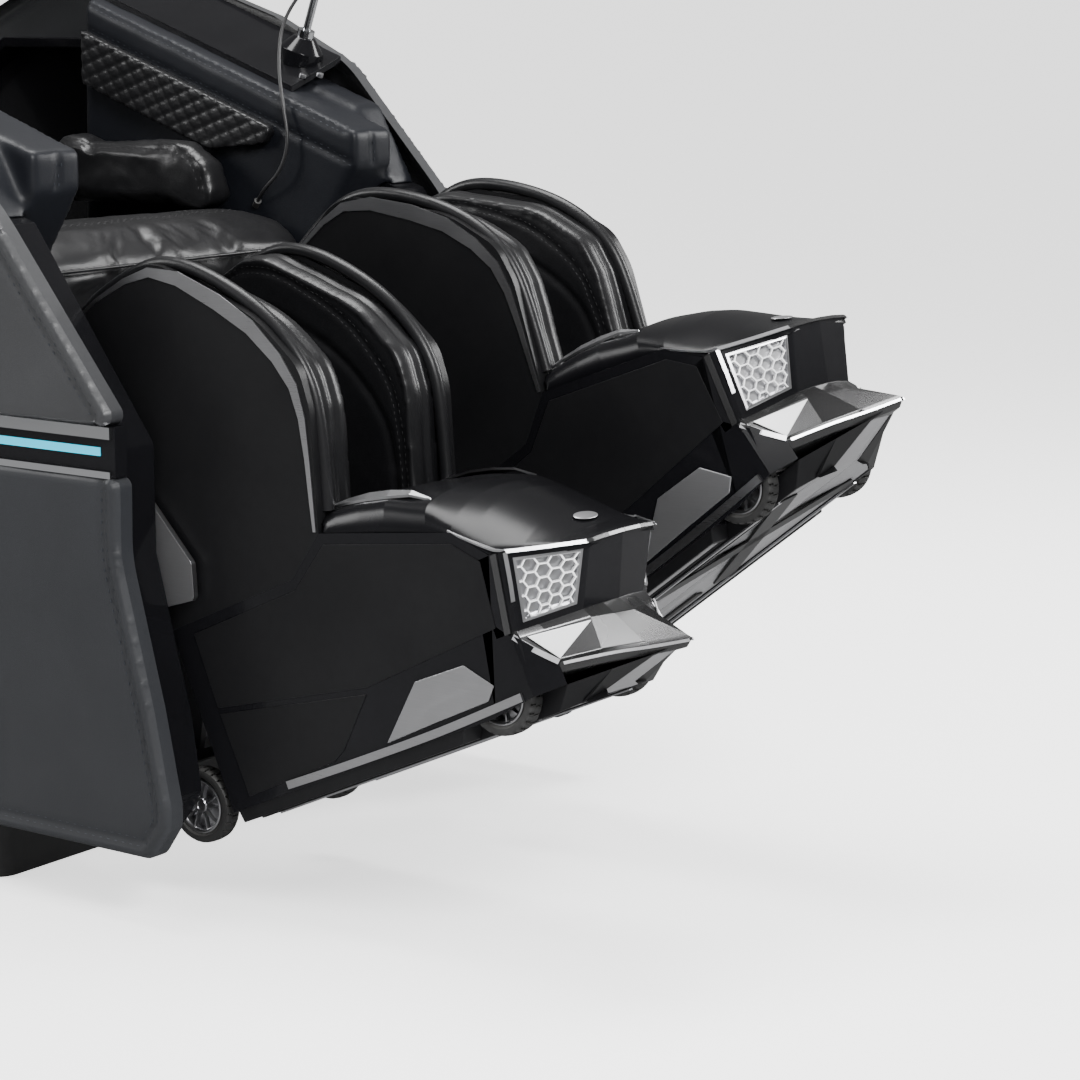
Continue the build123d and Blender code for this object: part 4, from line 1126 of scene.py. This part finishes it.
def tyreMesh():
    bm = bmesh.new()
    r, half = wheelLook["tyre"], wheelLook["width"] / 2
    outline = [(-half + 0.003, wheelLook["bead"]), (-half, 0.0365), (-half, 0.0405),
               (-half + 0.0012, r - 0.0022), (-half + 0.0035, r - 0.0008), (-0.004, r - 0.0002)]
    spin(bm, outline + [(-x, radius) for x, radius in reversed(outline)], wheelLook["treads"] * 4, closed=True)
    bmesh.ops.remove_doubles(bm, verts=bm.verts, dist=0.00001)
    bmesh.ops.recalc_face_normals(bm, faces=bm.faces)
    crown = []
    for face in bm.faces:
        middle = face.calc_center_median()
        if math.hypot(middle.y, middle.z) > r - 0.0017:
            sector = math.atan2(middle.y, middle.z) / math.tau * wheelLook["treads"]
            slant = 0.25 if middle.x > 0 else -0.05
            if (sector + slant + 40) % 1.0 < 0.3:
                crown.append(face)
    bmesh.ops.inset_individual(bm, faces=crown, thickness=0.0002, depth=-wheelLook["groove"])
    return bm


def spokeSection(angle, radius, wide, deep):
    out = Vector((0, math.cos(angle), math.sin(angle)))
    across = Vector((0, -math.sin(angle), math.cos(angle))) * wide
    centre = out * radius
    low, high = Vector((deep - 0.006, 0, 0)), Vector((deep, 0, 0))
    return [centre - across / 2 + low, centre + across / 2 + low, centre + across / 3 + high,
            centre - across / 3 + high]


def rimMesh():
    bm = bmesh.new()
    half = wheelLook["rim"]
    spin(bm, [(-half, 0.0333), (-half, 0.0310), (-half + 0.0016, 0.0296), (0.006, 0.0286),
              (half - 0.002, 0.0288), (half, 0.0302), (half + 0.0008, 0.0318), (half, 0.0333)], 72, closed=True)
    spin(bm, [(-0.004, 0.0), (-0.004, 0.0295), (-0.0055, 0.0295)], 48)
    spin(bm, [(-0.004, 0.0095), (0.0072, 0.0088), (0.0088, 0.0076), (0.0088, 0.0058), (0.0074, 0.0054),
              (0.0074, 0.0001)], 36)
    for number in range(wheelLook["spokes"]):
        middle = math.tau * number / wheelLook["spokes"] + math.pi / 2
        for lean in (-1, 1):
            sweepFace(bm, [spokeSection(middle + lean * angle, radius, wide, deep)
                           for radius, angle, wide, deep in spokeStations])
    bmesh.ops.remove_doubles(bm, verts=bm.verts, dist=0.00001)
    return bm


def makeWheels():
    tyreSource, rimSource = bpy.data.meshes.new("tyreSource"), bpy.data.meshes.new("rimSource")
    for source, bm in ((tyreSource, tyreMesh()), (rimSource, rimMesh())):
        bm.to_mesh(source)
        bm.free()
    for sideName in legs:
        for place in ("rear", "front"):
            tyres, rims = bmesh.new(), bmesh.new()
            stem = sideName + "_" + place
            low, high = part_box(stem + "_tyres")
            hub = Vector(joints[stem + "_wheels_turn"]["pos_m"])
            ends = {-1: low.x + wheelLook["inset"], 1: high.x - wheelLook["inset"]}
            for outward, x in ends.items():
                turn = Matrix.Translation((x, hub.y, hub.z))
                turn = turn @ Matrix.Rotation(math.pi if outward < 0 else 0.0, 4, "Z")
                for target, source in ((tyres, tyreSource), (rims, rimSource)):
                    before = len(target.verts)
                    target.from_mesh(source)
                    target.verts.ensure_lookup_table()
                    bmesh.ops.transform(target, matrix=turn, verts=target.verts[before:])
            middle = Matrix.Translation(((ends[-1] + ends[1]) / 2, hub.y, hub.z))
            bmesh.ops.create_cone(rims, cap_ends=True, segments=24, radius1=wheelLook["axle"],
                                  radius2=wheelLook["axle"], depth=ends[1] - ends[-1] - 0.004,
                                  matrix=middle @ Matrix.Rotation(math.pi / 2, 4, "Y"))
            makePiece(sideName + place.title() + "Tyres", tyres, stem + "_wheels", tyreRubber,
                      [stem + "_tyres"], angle=0.5)
            makePiece(sideName + place.title() + "Rims", rims, stem + "_wheels", brushedSilver,
                      [stem + "_rims"], angle=0.5)


makeWheels()
print("wheels finished")


# calf pads with layered sides

padLook = {"voxel": 0.0042, "smooth": 3, "middle": 0.055, "ribs": (0.1, 0.082), "ribWidth": 0.009,
           "ribDepth": 0.0036}


def makeCalfPads(sideName, matrix):
    body = sideName + "_leg"
    back = matrix.inverted()
    pads = softPiece(sideName + "CalfPads", [sideName + "_calf_pads"], body, padLeather,
                     padLook)

    def layered(place, normal):
        spot = back @ place
        facing = back.to_3x3() @ normal
        rim = math.hypot(facing.y, facing.z)
        if abs(spot.x) < padLook["middle"]:
            wave = math.sin(spot.z * 90.0) ** 2 if spot.y > -0.16 else 0.0
            return place + normal * 0.0015 * wave
        if rim > 0.45:
            gap = min(abs(abs(spot.x) - rib) for rib in padLook["ribs"])
            crown = (math.cos(math.pi * min(gap / padLook["ribWidth"], 1.0)) * 0.5 + 0.5) ** 2
            height = 0.0048 - padLook["ribDepth"] * crown
            height -= 0.0035 * max(0.0, (0.07 - abs(spot.x)) / 0.015)
            height += 0.0012 * noise.noise(spot * 22.0)
        else:
            height = -0.001 + 0.0016 * noise.noise(spot * 18.0) + 0.0012 * noise.noise(spot * 55.0)
            height *= 1.0 if abs(spot.x) < 0.09 else 0.2
        return place + normal * height * min(1.0, rim * 2 + 0.4)
    reshape(pads, layered)
    for half in (-1, 1):
        high = [matrix @ local(half * 59.0, f - 4 - 0.06 * f, h - 16) for f, h in calfArch[1:]]
        inner = smoothPath(high, 0.004)
        pressSeam(pads, [inner], 0.0028, 0.007)
        stitch(sideName + "PadStitch" + str(int(half > 0)), pads, [inner], body, blackThread,
               offsets=(-0.0045, 0.0045))
        low = [matrix @ local(half * 58.0, f - 34 - 0.05 * f, h - 52) for f, h in calfArch[3:-1]]
        pressSeam(pads, [smoothPath(low, 0.004)], 0.0035, 0.010)
    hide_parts(sideName + "_calf_pads")
    for half in (-1, 1):
        line = [local(half * 112.0, f + 1, h + 1.5) for f, h in calfArch]
        roll = tube(sideName + "ArchRoll" + str(int(half > 0)), line, legLook["rollRadius"], body, padLeather,
                    matrix=matrix)


for sideName, matrix in legs.items():
    makeCalfPads(sideName, matrix)
print("calf pads finished")


# seat and side pads

seatLook = {"voxel": 0.006, "smooth": 5, "puff": 0.012, "pressure": 3.0}


def wrinkle(piece, amount, size):
    reshape(piece, lambda place, normal: place + normal * amount * noise.fractal(place * size, 1.0, 2.0, 3))


def makeSeat():
    seat = softPiece("seatCushion", ["seat_cushion"], "base", blackLeather, seatLook)
    wrinkle(seat, 0.0022, 14.0)
    front = smoothPath([chair(x, -29, 733) for x in (-252, -120, 0, 120, 252)], 0.006)
    roll = smoothPath([chair(x, -128, 768) for x in (-246, -120, 0, 120, 246)], 0.006)
    rear = smoothPath([chair(x, -380, 752) for x in (-246, -120, 0, 120, 246)], 0.006)
    left = smoothPath([chair(150, f, 770) for f in (-128, -240, -380)], 0.006)
    right = smoothPath([chair(-150, f, 770) for f in (-128, -240, -380)], 0.006)
    pressSeam(seat, [front, roll, rear, left, right], 0.006, 0.014)
    stitch("seatStitch", seat, [front, roll, rear, left, right], "base", blackThread,
           offsets=(-0.005, 0.005))
    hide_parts("seat_cushion")
    piping = tube("seatPiping", [chair(x, -27.5, 733) for x in (-248, -120, 0, 120, 248)], 0.0024, "base",
                  blackLeather)


quiltLook = {"voxel": 0.0032, "smooth": 2, "cell": 0.030, "squeeze": 1.25, "slope": 19.6,
             "depth": 0.0026}


def makeQuilt():
    quilt = softPiece("quiltPads", ["quilt_pads"], "base", blackLeather, quiltLook)
    slope = math.radians(quiltLook["slope"])

    def diamonds(place, normal):
        if abs(normal.x) < 0.5:
            return place
        along = (place.y * math.cos(slope) + place.z * math.sin(slope)) / quiltLook["cell"]
        up = (-place.y * math.sin(slope) + place.z * math.cos(slope)) / quiltLook["cell"]
        up *= quiltLook["squeeze"]
        first = abs((along + up) % 1.0 - 0.5) * 2
        second = abs((along - up) % 1.0 - 0.5) * 2
        puff = min(1.0 - first ** 6, 1.0 - second ** 6)
        return place + normal * (puff - 0.7) * quiltLook["depth"]
    reshape(quilt, diamonds)
    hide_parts("quilt_pads")


hipLook = {"voxel": 0.005, "smooth": 5, "puff": 0.010, "pressure": 3.5}


def makeHips():
    hips = softPiece("hipPads", ["hip_pads"], "base", blackLeather, hipLook)
    wrinkle(hips, 0.003, 16.0)
    lines = []
    for half in (-1, 1):
        ring = [(-172, 800), (-184, 838), (-222, 858), (-330, 862), (-432, 860), (-452, 818), (-452, 795)]
        lines.append(smoothPath([chair(half * 200, f, z) for f, z in ring], 0.005))
    pressSeam(hips, lines, 0.004, 0.009)
    stitch("hipStitch", hips, lines, "base", blackThread, offsets=(-0.004, 0.004))
    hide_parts("hip_pads")


makeSeat()
makeQuilt()
makeHips()
print("seat finished")


# side panels and arms

panelLook = {"grid": 0.006, "roll": 0.019, "rollHeight": 0.0030, "seam": 0.0026, "edge": 0.007, "inset": 0.026,
             "rings": 4, "ring": 0.0021}


def rimLoop(node, limit):
    # the border of a node's flat outer face, in order
    bm = copyNode(node)
    flat = [face for face in bm.faces if face.normal.x > 0.99 and face.calc_center_median().x > limit]
    chosen = set(flat)
    follow = {}
    for face in flat:
        for edge in face.edges:
            if sum(1 for other in edge.link_faces if other in chosen) == 1:
                a, b = edge.verts
                follow.setdefault(a, []).append(b)
                follow.setdefault(b, []).append(a)
    start = here = next(iter(follow))
    before, loop = None, [start]
    while True:
        ahead = [vert for vert in follow[here] if vert is not before][0]
        if ahead is start:
            break
        loop.append(ahead)
        before, here = here, ahead
    points = []
    for a, b in zip(loop, loop[1:] + loop[:1]):
        steps = max(1, int((b.co - a.co).length / panelLook["grid"]))
        points += [a.co.lerp(b.co, k / steps) for k in range(steps)]
    bm.free()
    return points


def insetLine(points, distance):
    # the line that runs inside a border at a distance
    count = len(points)
    middle = sum(points, Vector()) / count
    spokes = [point - middle for point in points]
    area = sum(a.y * b.z - b.y * a.z for a, b in zip(spokes, spokes[1:] + spokes[:1]))
    turn = 1.0 if area > 0 else -1.0
    tree = nearestOf(points)
    line = []
    for k in range(count):
        along = points[(k + 2) % count] - points[k - 2]
        inward = Vector((0, -along.z, along.y)).normalized() * turn
        spot = points[k] + inward * distance
        if tree.find(spot)[2] > distance * 0.96:
            line.append(spot)
    return line


def makePanel(name, node, material, beltHeight):
    border = rimLoop(node, 0.42)
    bm = bmesh.new()
    bm.faces.new([bm.verts.new(point) for point in border])
    for _ in range(panelLook["rings"]):
        middleFace = max(bm.faces, key=lambda face: face.calc_area())
        bmesh.ops.inset_region(bm, faces=[middleFace], thickness=panelLook["ring"],
                               use_even_offset=True, use_boundary=True)
    low = Vector((min(p.x for p in border), min(p.y for p in border), min(p.z for p in border)))
    high = Vector((max(p.x for p in border), max(p.y for p in border), max(p.z for p in border)))
    for axis in (1, 2):
        steps = int((high[axis] - low[axis]) / panelLook["grid"])
        for k in range(1, steps):
            at = low.copy()
            at[axis] = low[axis] + (high[axis] - low[axis]) * k / steps
            normal = Vector((0, 0, 0))
            normal[axis] = 1.0
            inner = [face for face in bm.faces if len(face.verts) > 4 or face.tag]
            for face in inner:
                face.tag = True
            geom = list({item for face in inner for item in (*face.verts, *face.edges)}) + inner
            cut = bmesh.ops.bisect_plane(bm, geom=geom, dist=0.0003, plane_co=at, plane_no=normal)
            for item in cut["geom"]:
                if isinstance(item, bmesh.types.BMFace):
                    item.tag = True
    bmesh.ops.triangulate(bm, faces=[face for face in bm.faces if len(face.verts) > 4])
    soft = [point for point in border if abs(point.z - beltHeight) > 0.004]
    tree = nearestOf(soft)
    flat = bm.verts[:]
    rim = [edge for edge in bm.edges if len(edge.link_faces) == 1]
    grown = bmesh.ops.extrude_edge_only(bm, edges=rim)["geom"]
    wall = [item for item in grown if isinstance(item, bmesh.types.BMVert)]
    bmesh.ops.translate(bm, verts=wall, vec=(-panelLook["inset"], 0, 0))
    for vert in flat:
        gap = tree.find(vert.co)[2]
        roll = panelLook["roll"]
        rise = 0.0
        if gap < roll:
            rise = panelLook["rollHeight"] * math.sin(math.pi * gap / roll)
            rise -= panelLook["edge"] * max(0.0, 1 - gap / 0.008) ** 2
        rise -= panelLook["seam"] * math.exp(-((gap - roll - 0.001) / 0.0045) ** 2)
        rise += 0.0016 * (1 - math.exp(-max(0.0, gap - roll) / 0.05))
        belt = abs(vert.co.z - beltHeight)
        fold = noise.noise(Vector((vert.co.y * 26.0, vert.co.z * 5.0, 3.0))) * math.exp(-belt / 0.09)
        rise += 0.0022 * fold * min(1.0, gap / 0.03) - 0.004 * max(0.0, 1 - belt / 0.008) ** 2
        rise += 0.0007 * noise.noise(vert.co * 9.0)
        vert.co.x += rise
    for half in (1, -1):
        copy = bm.copy()
        if half < 0:
            bmesh.ops.scale(copy, verts=copy.verts, vec=(-1, 1, 1))
            bmesh.ops.reverse_faces(copy, faces=copy.faces)
        label = name + ("Left" if half > 0 else "Right")
        panel = makePiece(label, copy, "base", material, recalc=False, angle=0.9, weighted=False)
        outward = sum(face.normal.x * face.area for face in panel.data.polygons)
        if outward * half < 0:
            panel.data.flip_normals()
        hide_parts(node)
        lines = []
        for gap in (0.0160, 0.0245):
            line = [Vector((point.x * half, point.y, point.z)) for point in insetLine(soft, gap)]
            lines.append([point for point in line if abs(point.z - beltHeight) > 0.012])
        stitch(label + "Stitch", panel, lines, "base", blueThread, offsets=(0.0,))
    bm.free()


makePanel("upperPanel", "upper_panels", darkLeather, 0.588)
makePanel("lowerPanel", "lower_panels", blueLeather, 0.528)
print("side panels finished")

armLook = {"voxel": 0.0055, "smooth": 6, "rise": math.tan(math.radians(19.6))}


noseSeam = [(300, 884), (300, 866), (302, 850), (304, 846)]


def armTop(forward):
    return 907.0 - forward * armLook["rise"]


def makeArms():
    arms = softPiece("armRolls", ["arm_bodies"], "base", armLeather, armLook)
    wrinkle(arms, 0.0007, 12.0)
    lines = []
    for half in (-1, 1):
        for x, drop, front in ((266, 6, 30), (262, 44, 40)):
            seam = [chair(half * x, f, armTop(f) - drop) for f in (-440, -300, -160, -40, front)]
            lines.append(smoothPath(seam, 0.005))
        lines.append(smoothPath([chair(half * x, 50, z) for x, z in noseSeam], 0.005))
    pressSeam(arms, lines, 0.0035, 0.009)
    stitch("armStitch", arms, lines, "base", blueThread, offsets=(-0.004, 0.004))
    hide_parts("arm_bodies")


makeArms()
print("arms finished")


# backrest

recline = Vector(joints["recline"]["pos_m"])
backTurn = Matrix.Translation(recline) @ Matrix.Rotation(math.radians(-38.0), 4, "X")
backLook = {"voxel": 0.0065, "smooth": 5, "puff": 0.012, "pressure": 3.0}
pillowLook = {"voxel": 0.005, "smooth": 6, "puff": 0.014, "pressure": 4.0}
# ahead of the backrest's plane and along it
wingSeam = [(0, 446), (60, 452), (100, 470), (108, 540), (108, 620), (60, 668), (0, 686)]
pillowSeams = [(114, 606), (116, 668)]


def backPoint(x, ahead, along):
    return backTurn @ Vector((x / 1000, -ahead / 1000, along / 1000))


def makeBack():
    back = softPiece("backCushion", ["back_cushion"], "backrest", blackLeather, backLook)
    lines = []
    for along in (130, 215, 300, 385, 470, 555):
        lines.append(smoothPath([backPoint(x, 62, along) for x in (-150, -75, 0, 75, 150)], 0.006))
    for half in (-1, 1):
        side = [backPoint(half * 160, 60, along) for along in (60, 200, 350, 500, 650)]
        lines.append(smoothPath(side, 0.006))
    wrinkle(back, 0.0025, 12.0)
    pressSeam(back, lines, 0.007, 0.016)
    stitch("backStitch", back, lines, "backrest", blackThread, offsets=(-0.005, 0.005))
    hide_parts("back_cushion")
    wings = softPiece("shoulderWings", ["shoulder_wings"], "backrest", blackLeather, backLook)
    wrinkle(wings, 0.002, 14.0)
    seams = []
    for x in (-256, -304, 256, 304):
        seams.append(smoothPath([backPoint(x, ahead, along) for ahead, along in wingSeam], 0.005))
    pressSeam(wings, seams, 0.0035, 0.008)
    stitch("wingStitch", wings, seams, "backrest", blackThread, offsets=(-0.0035, 0.0035))
    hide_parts("shoulder_wings")
    pillow = softPiece("headPillow", ["head_pillow"], "pillow", blackLeather,
                       pillowLook)
    wrinkle(pillow, 0.0022, 16.0)
    seams = [smoothPath([backPoint(x, ahead, along) for x in (-120, -60, 0, 60, 120)], 0.005)
             for ahead, along in pillowSeams]
    pressSeam(pillow, seams, 0.005, 0.012)
    stitch("pillowStitch", pillow, seams, "pillow", blackThread, offsets=(-0.004, 0.004))
    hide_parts("head_pillow")


makeBack()
print("back finished")


# remote

remoteLook = {"screenWidth": 0.074, "screenHeight": 0.058, "keyRadius": 0.0048, "keyRise": 0.0014,
              "spacing": 0.019, "rows": 4}


def raised(name, bm, place, thick, bevel, material):
    # a flat shape given its thickness and put on the remote's face
    grown = bmesh.ops.extrude_face_region(bm, geom=bm.faces[:])["geom"]
    tops = [item for item in grown if isinstance(item, bmesh.types.BMVert)]
    bmesh.ops.translate(bm, verts=tops, vec=(0, 0, thick))
    bmesh.ops.recalc_face_normals(bm, faces=bm.faces)
    softenEdges(bm, bm.edges[:], bevel)
    makePiece(name, bm, "remote", material, matrix=place, angle=0.6)


def makeRemote():
    moulded("remoteCase", "remote_case", "remote", satinBlack, 0.0015)
    bm = copyNode("remote_case")
    toward = Vector((0.0, 0.3, 1.1))
    middle = sum((vert.co for vert in bm.verts), Vector()) / len(bm.verts)
    broad = sorted(bm.faces, key=lambda face: face.calc_area())[-8:]
    front = max(broad, key=lambda face: face.calc_area() * face.normal.dot((toward - middle).normalized()))
    out = front.normal.copy()
    middle += out * (out.dot(front.verts[0].co) - out.dot(middle))
    bm.free()
    up = (Vector((0, 0, 1)) - out * out.z).normalized()
    facing = Matrix((up.cross(out), up, out)).transposed().to_4x4()
    facing.translation = middle - out * 0.0004
    bm = bmesh.new()
    bmesh.ops.create_grid(bm, x_segments=1, y_segments=1, size=0.5)
    bmesh.ops.scale(bm, verts=bm.verts, vec=(remoteLook["screenWidth"], remoteLook["screenHeight"], 1))
    raised("remoteScreen", bm, facing @ Matrix.Translation((0, 0.042, 0)), 0.0012, 0.0004, screenGlass)
    for number in range(remoteLook["rows"] * 3):
        row, column = divmod(number, 3)
        at = Vector(((column - 1) * remoteLook["spacing"] * 1.2, -0.008 - row * remoteLook["spacing"], 0))
        bm = bmesh.new()
        bmesh.ops.create_circle(bm, cap_ends=True, segments=28, radius=remoteLook["keyRadius"])
        raised("remoteKey" + str(number), bm, facing @ Matrix.Translation(at), remoteLook["keyRise"], 0.0004,
               keyGrey)


makeRemote()
print("remote finished")
